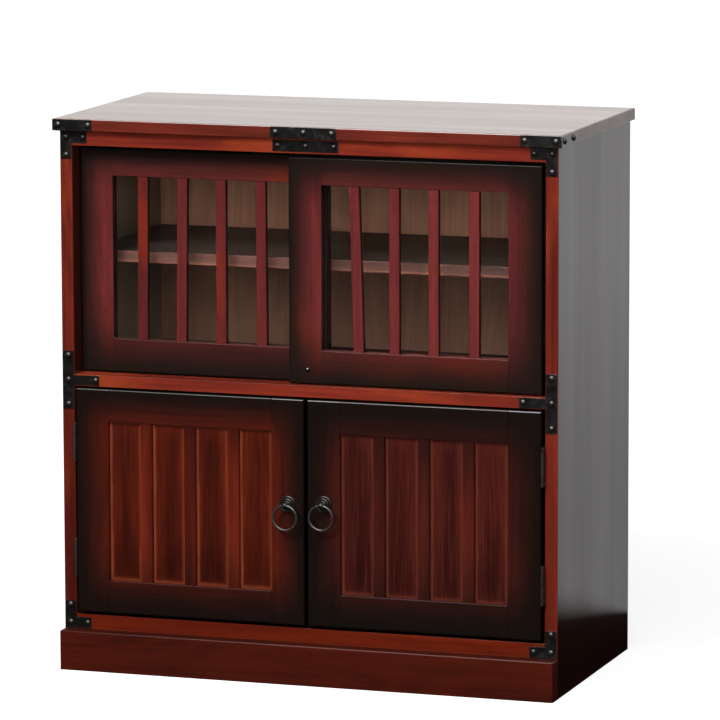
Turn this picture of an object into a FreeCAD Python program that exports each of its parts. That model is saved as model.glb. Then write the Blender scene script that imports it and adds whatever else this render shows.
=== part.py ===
import FreeCAD, Part
import os
import re
import Sketcher

# Glass-door cupboard: a carcass of boards on a plinth, two glazed sliding doors above and two
# panelled hinged doors below, dressed with iron corner plates, domed nails and ring pulls.
# Millimetres. X runs right, Y runs back and Z up, with the origin on the floor under the middle.

SIZES = {
    # Top board
    "top_width": 600,
    "top_depth": 300,
    "top_thickness": 14,
    "top_side_overhang": 5,
    "top_front_overhang": 8,
    "top_back_overhang": 2,
    "top_round": 1.6,
    # Carcass boards
    "cabinet_height": 635,
    "side_thickness": 15,
    "side_round": 0.8,
    "upper_board_thickness": 17,
    "middle_board_thickness": 13.5,
    "middle_board_height": 328,
    "bottom_board_thickness": 18,
    "bottom_board_height": 45,
    "board_round": 0.6,
    "back_thickness": 4,
    "back_inset": 2,
    "back_rebate_width": 7,
    "back_play": 0.3,
    # Plinth
    "plinth_thickness": 18,
    "plinth_height": 46,
    "plinth_round": 2.4,
    "glue_block_width": 22,
    # Shelves on pegs
    "shelf_thickness": 13,
    "shelf_side_gap": 1,
    "shelf_round": 0.8,
    "upper_shelf_height": 466,
    "upper_shelf_setback": 49.5,
    "lower_shelf_height": 188,
    "lower_shelf_setback": 42,
    "peg_diameter": 5,
    "peg_length": 16,
    "peg_collar_diameter": 8,
    "peg_collar_thickness": 2,
    "peg_play": 0.1,
    "peg_hole_depth": 9,
    "peg_hole_pitch": 32,
    "peg_front_setback": 80,
    "peg_back_inset": 39,
    # Sliding doors and their tracks
    "slide_overlap": 34.8,
    "slide_thickness": 14,
    "slide_setback": 7,
    "slide_track_pitch": 16,
    "slide_top_gap": 4.5,
    "slide_bottom_gap": 1.4,
    "slide_stop_gap": 0.3,
    "slide_ajar": 5.9,
    "slide_stile_width": 39.2,
    "slide_top_rail_width": 31.5,
    "slide_bottom_rail_width": 37.6,
    "slide_round": 2,
    "window_round": 0.8,
    "slat_width": 12,
    "slat_depth": 7.2,
    "slat_setback": 1.5,
    "slat_round": 1,
    "glass_setback": 9,
    "glass_thickness": 3,
    "glass_play": 0.2,
    "glass_groove_depth": 5,
    "tongue_thickness": 6,
    "tongue_play": 0.4,
    "upper_track_depth": 10,
    "upper_track_hold": 6.5,
    "lower_track_depth": 3,
    "runner_gap": 0.3,
    "stop_pin_diameter": 5,
    "stop_pin_reach": 3,
    "stop_pin_edge": 22.6,
    "stop_pin_rise": 16,
    # How far each slat's foot stands to the right of its head
    "front_slat_1_lean": 5.4,
    "front_slat_2_lean": 0,
    "front_slat_3_lean": 0,
    "front_slat_4_lean": 0,
    "rear_slat_1_lean": -1.3,
    "rear_slat_2_lean": -2.3,
    "rear_slat_3_lean": 0,
    "rear_slat_4_lean": 1,
    # How far each slat stands to the right of an even spacing
    "front_slat_1_shift": 0.4,
    "front_slat_2_shift": -1.1,
    "front_slat_3_shift": -1.3,
    "front_slat_4_shift": 0,
    "rear_slat_1_shift": -4.7,
    "rear_slat_2_shift": -3.6,
    "rear_slat_3_shift": -2.5,
    "rear_slat_4_shift": -0.5,
    # Hinged doors
    "door_thickness": 18,
    "door_proud": 4.8,
    "door_side_gap": 3,
    "door_meeting_gap": 4,
    "door_top_gap": 2,
    "door_bottom_gap": 3.8,
    "door_stile_width": 39.2,
    "door_rail_width": 37.8,
    "door_round": 2.2,
    "door_inner_round": 1,
    "panel_setback": 5,
    "panel_thickness": 6,
    "panel_play": 0.15,
    "panel_groove_depth": 6,
    "mullion_width": 13.8,
    "mullion_setback": 0.5,
    # Hinges
    "hinge_length": 44,
    "hinge_inset": 62.5,
    "knuckle_diameter": 3,
    "knuckle_gap": 0.3,
    "knuckle_door_gap": 0.2,
    "hinge_pin_diameter": 1.5,
    "hinge_pin_play": 0.05,
    "leaf_thickness": 1.1,
    "leaf_width": 15,
    "screw_pitch": 15,
    "screw_head_diameter": 4.6,
    "screw_diameter": 2.2,
    "screw_length": 11,
    "screw_play": 0.05,
    # Ring pulls
    "pull_edge": 19.5,
    "left_pull_rise": 138.7,
    "right_pull_rise": 140.9,
    "pull_reach": 10.6,
    "rosette_diameter": 19.5,
    "rosette_height": 2.6,
    "rosette_boss_diameter": 12,
    "rosette_boss_height": 5.4,
    "pull_neck_diameter": 3.6,
    "pull_eye_diameter": 6.5,
    "pull_eye_play": 0.7,
    "ring_diameter": 31,
    "ring_wire_diameter": 2.9,
    # Door catches
    "catch_width": 34,
    "catch_depth": 14,
    "catch_height": 11,
    "catch_edge": 24,
    "catch_gap": 0.3,
    "catch_round": 0.8,
    "strike_width": 26,
    "strike_height": 9,
    "strike_thickness": 1.2,
    # Iron plates
    "plate_thickness": 1,
    "plate_band": 13,
    "plate_margin": 1,
    "strap_margin": 0.5,
    "strap_front_leg": 48,
    "strap_side_leg": 52,
    "centre_plate_width": 78,
    "angle_leg": 31.5,
    "tee_height": 67,
    "tee_reach": 44,
    "tee_arm_band": 11.5,
    "plinth_plate_gap": 0.3,
    # Domed nails
    "nail_diameter": 7.4,
    "nail_height": 2.7,
    "nail_end": 6,
    "centre_nail_pitch": 33,
    "angle_nail_pitch": 20.5,
    "tee_nail_pitch": 28.2,
    "tee_arm_nail_pitch": 33,
    "strap_front_nail_pitch": 36,
    "strap_side_nail_pitch": 35,
}

# Places worked out from the sizes, each one on the ones before it
PLACES = {
    "carcass_width": "top_width - 2 * top_side_overhang",
    "carcass_half": "carcass_width / 2",
    "inner_half": "carcass_half - side_thickness",
    "carcass_height": "cabinet_height - top_thickness",
    "carcass_depth": "top_depth - top_front_overhang - top_back_overhang",
    "front_reach": "door_proud + pull_reach + pull_eye_diameter / 2",
    "front_y": "(front_reach - top_depth + top_front_overhang) / 2",
    "back_y": "front_y + carcass_depth",
    "back_panel_y": "back_y - back_inset - back_thickness",
    "board_depth": "back_panel_y - front_y",
    "upper_board_z": "carcass_height - upper_board_thickness",
    "peg_back_setback": "board_depth - peg_back_inset",
    "middle_board_top": "middle_board_height + middle_board_thickness",
    "bottom_board_top": "bottom_board_height + bottom_board_thickness",
    "slide_width": "inner_half + slide_overlap / 2",
    "slide_front_y": "front_y + slide_setback",
    "slide_rear_y": "slide_front_y + slide_track_pitch",
    "slide_bottom": "middle_board_top + slide_bottom_gap",
    "slide_height": "upper_board_z - slide_top_gap - slide_bottom",
    "slide_front_x": "inner_half - slide_ajar - slide_width",
    "slide_rear_x": "slide_stop_gap - inner_half",
    "window_width": "slide_width - 2 * slide_stile_width",
    "window_height": "slide_height - slide_top_rail_width - slide_bottom_rail_width",
    "tongue_inset": "(slide_thickness - tongue_thickness) / 2",
    "tongue_height": "slide_top_gap + upper_track_hold",
    "runner_height": "slide_bottom_gap + lower_track_depth - runner_gap",
    "track_width": "tongue_thickness + 2 * tongue_play",
    "track_inset": "tongue_inset - tongue_play",
    "glass_groove_width": "glass_thickness + 2 * glass_play",
    "glass_edge": "glass_groove_depth - glass_play",
    "door_width": "inner_half - door_side_gap - door_meeting_gap / 2",
    "door_bottom": "bottom_board_top + door_bottom_gap",
    "door_height": "middle_board_height - door_top_gap - door_bottom",
    "door_y": "front_y - door_proud",
    "door_back_y": "door_y + door_thickness",
    "panel_width": "door_width - 2 * door_stile_width",
    "panel_height": "door_height - 2 * door_rail_width",
    "panel_edge": "panel_groove_depth - panel_play",
    "panel_groove_width": "panel_thickness + 2 * panel_play",
    "pivot_x": "inner_half - door_side_gap / 2",
    "pivot_y": "door_y - knuckle_diameter / 2 - knuckle_door_gap",
    "knuckle_reach": "knuckle_diameter / 2 + knuckle_gap",
    "leaf_y": "pivot_y + knuckle_reach",
    "pull_x": "door_meeting_gap / 2 + pull_edge",
    "left_pull_z": "door_bottom + left_pull_rise",
    "right_pull_z": "door_bottom + right_pull_rise",
    "ring_radius": "(ring_diameter - ring_wire_diameter) / 2",
    "ring_y": "door_y - pull_reach",
    "nail_radius": "(nail_diameter ^ 2 / 4 + nail_height ^ 2) / (2 * nail_height)",
    "rosette_radius": "(rosette_diameter ^ 2 / 4 + rosette_height ^ 2) / (2 * rosette_height)",
    "strap_z": "carcass_height + strap_margin",
    "strap_height": "top_thickness - 2 * strap_margin",
    "strap_mid_z": "carcass_height + top_thickness / 2",
    "top_half": "top_width / 2",
    "top_front_y": "front_y - top_front_overhang",
    "plate_outer": "carcass_half - plate_margin",
    "upper_plate_top": "carcass_height - plate_margin",
    "rail_plate_z": "upper_board_z + (upper_board_thickness - plate_band) / 2",
    "lower_plate_bottom": "plinth_height + plinth_plate_gap",
    "tee_mid_z": "middle_board_height + middle_board_thickness / 2",
    "upper_peg_z": "upper_shelf_height - peg_diameter / 2",
    "lower_peg_z": "lower_shelf_height - peg_diameter / 2",
}

KNUCKLES = 5
SLATS = 4
MULLIONS = 3
LEAF_SCREWS = 3
TOUCH = 1e-4

FACE_FRONT = FreeCAD.Rotation(FreeCAD.Vector(1, 0, 0), 90)
FACE_RIGHT = FreeCAD.Rotation(FreeCAD.Vector(0, 1, 0), 90)
FACE_LEFT = FreeCAD.Rotation(FreeCAD.Vector(0, 1, 0), -90)
OUTWARD = {"left": FACE_LEFT, "right": FACE_RIGHT}
OTHER = {"left": "right", "right": "left"}

doc = FreeCAD.newDocument("glass_door_cupboard")
nodes = []


def linked(text):
    """Point each size or place that an expression names at its cell in its sheet."""

    def cell(word):
        sheet = "sizes" if word.group() in SIZES else "places"
        return sheet + "." + word.group()

    return re.sub(r"[a-z]+_\w+", cell, text)


def fill_sheets():
    """Write the driving sizes as plain numbers, and the places as sums of them."""
    sizes = doc.addObject("Spreadsheet::Sheet", "sizes")
    for row, (name, value) in enumerate(SIZES.items(), 1):
        sizes.set(f"A{row}", name.replace("_", " "))
        sizes.set(f"B{row}", str(value))
        sizes.setAlias(f"B{row}", name)
    doc.recompute()
    places = doc.addObject("Spreadsheet::Sheet", "places")
    for row, name in enumerate(PLACES, 1):
        places.set(f"A{row}", name.replace("_", " "))
        places.setAlias(f"B{row}", name)
    for row, rule in enumerate(PLACES.values(), 1):
        rule = re.sub(r"places\.", "", linked(rule))
        places.set(f"B{row}", "=" + rule)
    doc.recompute()


def bind(thing, rules):
    """Bind each property of a thing to its rule."""
    for path, rule in rules.items():
        thing.setExpression(path, linked(rule))


def put(thing, place, turn=None):
    """Turn a thing, then bind its place."""
    if turn is not None:
        thing.Placement = FreeCAD.Placement(FreeCAD.Vector(), turn)
    bind(thing, {f"Placement.Base.{axis}": rule for axis, rule in zip("xyz", place)})


def minus(rule):
    return f"-({rule})"


def beside(side, outer, width):
    """Lowest X of a block as wide as width whose outer face stands at outer on that side."""
    return minus(outer) if side == "left" else f"({outer}) - ({width})"


def on_side(side, rule):
    return minus(rule) if side == "left" else rule


def to_middle(side, rule):
    return rule if side == "left" else minus(rule)


def new_body(name, place):
    body = doc.addObject("PartDesign::Body", name)
    body.Label = name
    put(body, place)
    return body


def block(body, label, start, size, kind="Additive"):
    """Add a block to a body, or cut one out of it."""
    box = body.newObject(f"PartDesign::{kind}Box", label)
    bind(box, dict(zip(("Length", "Width", "Height"), size)))
    put(box, start)
    return box


def drill(body, label, start, diameter, depth, turn):
    """Cut a round hole into a body."""
    hole = body.newObject("PartDesign::SubtractiveCylinder", label)
    bind(hole, {"Radius": f"({diameter}) / 2", "Height": depth})
    put(hole, start, turn)
    return hole


def board(name, start, size):
    body = new_body(name, start)
    block(body, name + "_stock", ("0", "0", "0"), size)
    return body


def outline(body, label, role, points):
    """Draw a closed outline on one of a body's planes, each corner bound to its rules."""
    plane = [item for item in body.Origin.OriginFeatures if item.Role == role][0]
    sketch = body.newObject("Sketcher::SketchObject", label)
    sketch.AttachmentSupport = [(plane, "")]
    sketch.MapMode = "FlatFace"
    count = len(points)
    ring = [FreeCAD.Vector(1, 0, 0)]
    turn = FreeCAD.Rotation(FreeCAD.Vector(0, 0, 1), 360 / count)
    while len(ring) < count:
        ring.append(turn.multVec(ring[-1]))
    for index in range(count):
        sketch.addGeometry(Part.LineSegment(ring[index], ring[(index + 1) % count]), False)
    for index in range(count):
        sketch.addConstraint(Sketcher.Constraint("Coincident", index, 2, (index + 1) % count, 1))
    for index, corner in enumerate(points):
        for way, rule, start in zip("XY", corner, ring[index]):
            distance = Sketcher.Constraint("Distance" + way, -1, 1, index, 1, start)
            number = sketch.addConstraint(distance)
            sketch.setExpression(f"Constraints[{number}]", linked(rule))
    return sketch


def pad(body, sketch, length, back=False):
    """Give an outline its thickness, to the back where asked."""
    feature = body.newObject("PartDesign::Pad", sketch.Label + "_pad")
    feature.Profile = sketch
    feature.Reversed = back
    bind(feature, {"Length": length})
    sketch.Visibility = False
    return feature


def touching(shape, edge):
    """Name the outer sides of a shape that an edge lies on, and whether it stands up."""
    limits = shape.BoundBox
    sides = {
        "left": (0, limits.XMin), "right": (0, limits.XMax), "front": (1, limits.YMin),
        "back": (1, limits.YMax), "bottom": (2, limits.ZMin), "top": (2, limits.ZMax),
    }
    ends = [vertex.Point for vertex in edge.Vertexes]
    found = {
        side for side, (axis, level) in sides.items()
        if all(abs(end[axis] - level) < TOUCH for end in ends)
    }
    if abs(ends[0].z - ends[-1].z) > TOUCH:
        found.add("upright")
    return found


def soften(body, radius, corners):
    """Round the edges of a body's last feature where the named sides meet."""
    doc.recompute()
    last = body.Tip
    edges = [
        f"Edge{number}" for number, edge in enumerate(last.Shape.Edges, 1)
        if any(set(corner) <= touching(last.Shape, edge) for corner in corners)
    ]
    fillet = body.newObject("PartDesign::Fillet", body.Label + "_round")
    fillet.Base = (last, edges)
    bind(fillet, {"Radius": radius})
    return fillet


def keep(thing, label=None):
    """Keep a finished piece as a node of its own."""
    if label:
        thing.Label = label
    nodes.append(thing)
    return thing


def together(name, pieces):
    """Keep like pieces as one node of separate solids."""
    group = doc.addObject("Part::Compound", name)
    group.Links = pieces
    return keep(group, name)


def cylinder(label, start, diameter, length, turn=None):
    rod = doc.addObject("Part::Cylinder", label)
    bind(rod, {"Radius": f"({diameter}) / 2", "Height": length})
    put(rod, start, turn)
    return rod


def joined(label, pieces):
    whole = doc.addObject("Part::MultiFuse", label)
    whole.Shapes = pieces
    return whole


def less(label, whole, tool):
    rest = doc.addObject("Part::Cut", label)
    rest.Base = whole
    rest.Tool = tool
    return rest


def carcass():
    """Boards of the cabinet, from the top down."""
    top_size = ("top_width", "top_depth", "top_thickness")
    top = board("top_board", (minus("top_half"), "top_front_y", "carcass_height"), top_size)
    around = [("front", "top"), ("front", "bottom"), ("left", "top"), ("left", "bottom"),
              ("right", "top"), ("right", "bottom"), ("back", "top"),
              ("front", "left"), ("front", "right")]
    soften(top, "top_round", around)
    keep(top)
    width = "2 * inner_half"
    left = minus("inner_half")
    upper = board("upper_board", (left, "front_y", "upper_board_z"),
                  (width, "board_depth", "upper_board_thickness"))
    soften(upper, "board_round", [("front", "bottom")])
    cut_tracks(upper, "0", "upper_track_depth")
    keep(upper)
    middle = board("middle_board", (left, "front_y", "middle_board_height"),
                   (width, "board_depth", "middle_board_thickness"))
    soften(middle, "board_round", [("front", "top"), ("front", "bottom")])
    cut_tracks(middle, "middle_board_thickness - lower_track_depth", "lower_track_depth")
    keep(middle)
    bottom = board("bottom_board", (left, "front_y", "bottom_board_height"),
                   (width, "board_depth", "bottom_board_thickness"))
    soften(bottom, "board_round", [("front", "top")])
    keep(bottom)
    back_width = "inner_half + back_rebate_width - back_play"
    keep(board("back_panel", (minus(back_width), "back_panel_y", "bottom_board_height"),
               (f"2 * ({back_width})", "back_thickness", "carcass_height - bottom_board_height")))
    plinth = board("plinth_board", (minus("carcass_half"), "front_y - plinth_thickness", "0"),
                   ("carcass_width", "plinth_thickness", "plinth_height"))
    soften(plinth, "plinth_round", [("front", "top"), ("front", "left"), ("front", "right"),
                                    ("left", "top"), ("right", "top")])
    keep(plinth)
    blocks = []
    for side in ("left", "right"):
        for end, y in (("front", "front_y"), ("back", "back_panel_y - glue_block_width")):
            start = (beside(side, "inner_half", "glue_block_width"), y, "0")
            size = ("glue_block_width", "glue_block_width", "bottom_board_height")
            blocks.append(board(f"{end}_{side}_glue_block", start, size))
    together("glue_blocks", blocks)


def cut_tracks(body, z, depth):
    """Two grooves along a board, one for each sliding door."""
    for label, setback in (("front", "0"), ("rear", "slide_track_pitch")):
        start = ("0", f"slide_setback + track_inset + {setback}", z)
        block(body, f"{label}_track", start, ("2 * inner_half", "track_width", depth), "Subtractive")


def hinge_heights():
    """Middle height of each door's upper and lower hinge."""
    return {"upper": "door_bottom + door_height - hinge_inset", "lower": "door_bottom + hinge_inset"}


def screw_rises():
    """Height of each screw of a leaf above the leaf's middle."""
    return [f"{index - (LEAF_SCREWS - 1) / 2} * screw_pitch" for index in range(LEAF_SCREWS)]


def side_panels():
    """Side panels, rebated for the back and drilled for shelf pegs and hinge screws."""
    for side in ("left", "right"):
        start = (beside(side, "carcass_half", "side_thickness"), "front_y", "0")
        panel = board(f"{side}_side_panel", start, ("side_thickness", "carcass_depth", "carcass_height"))
        soften(panel, "side_round", [("front", side), ("front", OTHER[side])])
        inner = "side_thickness" if side == "left" else "0"
        rebate_x = "side_thickness - back_rebate_width" if side == "left" else "0"
        block(panel, f"{side}_back_rebate", (rebate_x, "board_depth", "bottom_board_height"),
              ("back_rebate_width", "back_inset + back_thickness", "carcass_height - bottom_board_height"),
              "Subtractive")
        turn = OUTWARD[side]
        for height in ("upper_peg_z", "lower_peg_z"):
            for setback in ("peg_front_setback", "peg_back_setback"):
                for row in (-1, 0, 1):
                    start = (inner, setback, f"{height} + {row} * peg_hole_pitch")
                    drill(panel, f"{side}_peg_hole", start, "peg_diameter + 2 * peg_play",
                          "peg_hole_depth", turn)
        for height in hinge_heights().values():
            for rise in screw_rises():
                start = (inner, "leaf_y + leaf_width / 2 - front_y", f"{height} + {rise}")
                drill(panel, f"{side}_screw_hole", start, "screw_diameter + 2 * screw_play",
                      "screw_length", turn)
        keep(panel)


def shelves():
    """Upper and lower shelf, and the collared pegs that they lie on."""
    pegs = []
    for level in ("upper", "lower"):
        depth = f"board_depth - {level}_shelf_setback"
        shelf = board(f"{level}_shelf",
                      ("shelf_side_gap - inner_half", f"front_y + {level}_shelf_setback",
                       f"{level}_shelf_height"),
                      ("2 * (inner_half - shelf_side_gap)", depth, "shelf_thickness"))
        soften(shelf, "shelf_round", [("front", "top"), ("front", "bottom")])
        keep(shelf)
        for side in ("left", "right"):
            for setback in ("peg_front_setback", "peg_back_setback"):
                y = f"front_y + {setback}"
                pin_x = on_side(side, "inner_half + peg_hole_depth - peg_length")
                collar_x = on_side(side, "inner_half - peg_collar_thickness")
                pin_start = (pin_x, y, f"{level}_peg_z")
                pin = cylinder("peg_pin", pin_start, "peg_diameter", "peg_length", OUTWARD[side])
                collar = cylinder("peg_collar", (collar_x, y, f"{level}_peg_z"), "peg_collar_diameter",
                                  "peg_collar_thickness", OUTWARD[side])
                below = doc.addObject("Part::Box", "peg_collar_room")
                bind(below, {"Length": "2 * peg_collar_thickness", "Width": "peg_collar_diameter",
                             "Height": "peg_collar_diameter / 2 + peg_diameter / 2"})
                put(below, (f"{collar_x} - peg_collar_thickness", f"{y} - peg_collar_diameter / 2",
                            f"{level}_peg_z - peg_collar_diameter / 2"))
                flat = doc.addObject("Part::Common", "peg_flat_collar")
                flat.Base = collar
                flat.Tool = below
                pegs.append(joined("shelf_peg", [pin, flat]))
    together("shelf_pegs", pegs)


def sliding_door(name, left_x, front_y):
    """One glazed sliding door: two stiles, two rails, slats and a pane held in grooves."""
    right_x = f"{left_x} + slide_width - slide_stile_width"
    groove_y = "glass_setback - glass_play"
    for side, x in (("left", left_x), ("right", right_x)):
        stile = board(f"{name}_{side}_stile", (x, front_y, "slide_bottom"),
                      ("slide_stile_width", "slide_thickness", "slide_height"))
        soften(stile, "slide_round", [("front", side), ("front", "top"), ("front", "bottom")])
        soften(stile, "window_round", [("front", OTHER[side], "upright")])
        add_tongues(stile, "slide_stile_width", "slide_height", True, True)
        groove_x = "slide_stile_width - glass_groove_depth" if side == "left" else "0"
        block(stile, f"{side}_glass_groove",
              (groove_x, groove_y, "slide_bottom_rail_width - glass_groove_depth"),
              ("glass_groove_depth", "glass_groove_width", "window_height + 2 * glass_groove_depth"),
              "Subtractive")
        keep(stile)
    inner_x = f"{left_x} + slide_stile_width"
    for end in ("bottom", "top"):
        is_top = end == "top"
        z = "slide_bottom + slide_height - slide_top_rail_width" if is_top else "slide_bottom"
        rail_width = f"slide_{end}_rail_width"
        rail = board(f"{name}_{end}_rail", (inner_x, front_y, z),
                     ("window_width", "slide_thickness", rail_width))
        soften(rail, "slide_round", [("front", end)])
        soften(rail, "window_round", [("front", "bottom" if is_top else "top")])
        add_tongues(rail, "window_width", rail_width, is_top, not is_top)
        groove_z = "0" if is_top else "slide_bottom_rail_width - glass_groove_depth"
        block(rail, f"{end}_glass_groove", ("0", groove_y, groove_z),
              ("window_width", "glass_groove_width", "glass_groove_depth"), "Subtractive")
        keep(rail)
    slats = []
    window_z = "slide_bottom + slide_bottom_rail_width"
    for number in range(1, SLATS + 1):
        pitch = f"{number} * (window_width + slat_width) / {SLATS + 1} - slat_width"
        label = f"{name}_slat_{number}"
        slat_x = f"{inner_x} + {pitch} + {label}_shift"
        slat = new_body(label, (slat_x, f"{front_y} + slat_setback", window_z))
        half_lean = f"{label}_lean / 2"
        points = [(half_lean, "0"), (f"slat_width + {half_lean}", "0"),
                  (f"slat_width - {half_lean}", "window_height"), (minus(half_lean), "window_height")]
        drawn = outline(slat, label + "_outline", "XZ_Plane", points)
        pad(slat, drawn, "slat_depth", back=True)
        soften(slat, "slat_round", [("front", "upright")])
        slats.append(slat)
    together(f"{name}_slats", slats)
    keep(board(f"{name}_glass",
               (f"{inner_x} - glass_edge", f"{front_y} + glass_setback", f"{window_z} - glass_edge"),
               ("window_width + 2 * glass_edge", "glass_thickness", "window_height + 2 * glass_edge")))


def add_tongues(body, length, height, above, below):
    """Tongue that runs in the upper track, and runner that slides in the lower one."""
    if above:
        block(body, "tongue", ("0", "tongue_inset", height),
              (length, "tongue_thickness", "tongue_height"))
    if below:
        block(body, "runner", ("0", "tongue_inset", minus("runner_height")),
              (length, "tongue_thickness", "runner_height"))


def stop_pin():
    """Round-headed pin low on the front door's free stile."""
    place = ("slide_front_x + stop_pin_edge", "slide_front_y", "slide_bottom + stop_pin_rise")
    shank = cylinder("stop_pin_shank", place, "stop_pin_diameter", "stop_pin_reach / 2", FACE_FRONT)
    head = doc.addObject("Part::Sphere", "stop_pin_head")
    bind(head, {"Radius": "stop_pin_diameter / 2"})
    head.Angle1 = 0
    put(head, (place[0], f"{place[1]} - stop_pin_reach / 2", place[2]), FACE_FRONT)
    keep(joined("front_stop_pin", [shank, head]), "front_stop_pin")


def hinged_door(side):
    """One panelled door: stiles, rails, mullions and the board behind them."""
    left_x = minus("inner_half - door_side_gap") if side == "left" else "door_meeting_gap / 2"
    right_x = f"{left_x} + door_width - door_stile_width"
    groove_y = "panel_setback - panel_play"
    stile_size = ("door_stile_width", "door_thickness", "door_height")
    for end, x in (("left", left_x), ("right", right_x)):
        use = "hinge" if end == side else "meeting"
        stile = board(f"{side}_door_{use}_stile", (x, "door_y", "door_bottom"), stile_size)
        soften(stile, "door_round", [("front", end), ("front", "top"), ("front", "bottom")])
        soften(stile, "door_inner_round", [("front", OTHER[end], "upright")])
        groove_x = "door_stile_width - panel_groove_depth" if end == "left" else "0"
        block(stile, f"{end}_panel_groove", (groove_x, groove_y, "door_rail_width - panel_groove_depth"),
              ("panel_groove_depth", "panel_groove_width", "panel_height + 2 * panel_groove_depth"),
              "Subtractive")
        if use == "hinge":
            outer = "0" if end == "left" else "door_stile_width"
            for height in hinge_heights().values():
                for rise in screw_rises():
                    start = (outer, "leaf_y + leaf_width / 2 - door_y", f"{height} - door_bottom + {rise}")
                    drill(stile, f"{side}_door_screw_hole", start, "screw_diameter + 2 * screw_play",
                          "screw_length", OUTWARD[OTHER[side]])
        keep(stile)
    inner_x = f"{left_x} + door_stile_width"
    for end in ("bottom", "top"):
        is_top = end == "top"
        z = "door_bottom + door_height - door_rail_width" if is_top else "door_bottom"
        rail = board(f"{side}_door_{end}_rail", (inner_x, "door_y", z),
                     ("panel_width", "door_thickness", "door_rail_width"))
        soften(rail, "door_round", [("front", end)])
        soften(rail, "door_inner_round", [("front", "bottom" if is_top else "top")])
        groove_z = "0" if is_top else "door_rail_width - panel_groove_depth"
        block(rail, f"{end}_panel_groove", ("0", groove_y, groove_z),
              ("panel_width", "panel_groove_width", "panel_groove_depth"), "Subtractive")
        keep(rail)
    panel_z = "door_bottom + door_rail_width"
    keep(board(f"{side}_door_panel",
               (f"{inner_x} - panel_edge", "door_y + panel_setback", f"{panel_z} - panel_edge"),
               ("panel_width + 2 * panel_edge", "panel_thickness", "panel_height + 2 * panel_edge")))
    mullions = []
    for number in range(1, MULLIONS + 1):
        pitch = f"{number} * (panel_width + mullion_width) / {MULLIONS + 1} - mullion_width"
        mullion = board(f"{side}_door_mullion_{number}",
                        (f"{inner_x} + {pitch}", "door_y + mullion_setback", panel_z),
                        ("mullion_width", "panel_setback - mullion_setback", "panel_height"))
        soften(mullion, "door_inner_round", [("front", "upright")])
        mullions.append(mullion)
    together(f"{side}_door_mullions", mullions)
    strike_x = "door_meeting_gap / 2 + catch_edge + (catch_width - strike_width) / 2"
    strike_z = "middle_board_height - (catch_height + strike_height) / 2"
    low_x = f"-({strike_x}) - strike_width" if side == "left" else strike_x
    keep(board(f"{side}_door_strike", (low_x, "door_back_y", strike_z),
               ("strike_width", "strike_thickness", "strike_height")))


def catches():
    """Magnet catches under the middle board, one for each door."""
    housings = []
    for side in ("left", "right"):
        x = "door_meeting_gap / 2 + catch_edge"
        low_x = f"-({x}) - catch_width" if side == "left" else x
        start = (low_x, "door_back_y + strike_thickness + catch_gap", "middle_board_height - catch_height")
        housing = board(f"{side}_catch", start, ("catch_width", "catch_depth", "catch_height"))
        soften(housing, "catch_round", [("front", "bottom"), ("left", "bottom"), ("right", "bottom")])
        housings.append(housing)
    together("door_catches", housings)


def screw(side, start, outward):
    """Countersunk screw through a leaf into the wood beside it, with its head at start."""
    turn = OUTWARD[side]
    head = doc.addObject("Part::Cone", "screw_head")
    bind(head, {"Radius1": "screw_head_diameter / 2", "Radius2": "screw_diameter / 2",
                "Height": "leaf_thickness"})
    put(head, start, turn)
    shank_x = f"{start[0]} + {outward} * leaf_thickness"
    shank = cylinder("screw_shank", (shank_x, start[1], start[2]), "screw_diameter", "screw_length", turn)
    return joined("hinge_screw", [head, shank])


def leaf(name, side, inward, middle_z, odd):
    """A hinge leaf: its plate, the knuckles that are its own, the bore and the screw seats."""
    own = [index for index in range(KNUCKLES) if (index % 2 == 0) == odd]
    step = f"hinge_length / {KNUCKLES}"
    face_x = beside(side, "inner_half", "leaf_thickness")
    if inward:
        face_x = beside(side, "inner_half - door_side_gap + leaf_thickness", "leaf_thickness")
    low_z = f"{middle_z} - hinge_length / 2"
    plate = doc.addObject("Part::Box", name + "_plate")
    bind(plate, {"Length": "leaf_thickness", "Width": "leaf_width", "Height": "hinge_length"})
    put(plate, (face_x, "leaf_y", low_z))
    pieces = [plate]
    for index in own:
        knuckle_z = f"{low_z} + {index} * {step} + knuckle_gap / 2"
        centre = (on_side(side, "pivot_x"), "pivot_y", knuckle_z)
        knuckle_length = f"{step} - knuckle_gap"
        pieces.append(cylinder(name + "_knuckle", centre, "knuckle_diameter", knuckle_length))
        web = doc.addObject("Part::Box", name + "_web")
        bind(web, {"Length": "leaf_thickness", "Width": "knuckle_reach", "Height": knuckle_length})
        put(web, (face_x, "pivot_y", knuckle_z))
        pieces.append(web)
    bore = cylinder(name + "_bore", (on_side(side, "pivot_x"), "pivot_y", low_z),
                    "hinge_pin_diameter + 2 * hinge_pin_play", "hinge_length")
    cutters = [bore]
    for rise in screw_rises():
        seat = doc.addObject("Part::Cone", name + "_screw_seat")
        bind(seat, {"Radius1": "screw_head_diameter / 2 + screw_play",
                    "Radius2": "screw_diameter / 2 + screw_play", "Height": "leaf_thickness"})
        start, turned = screw_start(side, inward, middle_z, rise)
        put(seat, start, OUTWARD[turned])
        cutters.append(seat)
    return less(name, joined(name + "_solid", pieces), joined(name + "_cutters", cutters))


def screw_start(side, inward, middle_z, rise):
    """Where a screw's head lies flush in its leaf, and the side that it is driven towards."""
    depth = "door_side_gap - leaf_thickness" if inward else "leaf_thickness"
    x = on_side(side, f"inner_half - ({depth})")
    return (x, "leaf_y + leaf_width / 2", f"{middle_z} + {rise}"), OTHER[side] if inward else side


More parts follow.
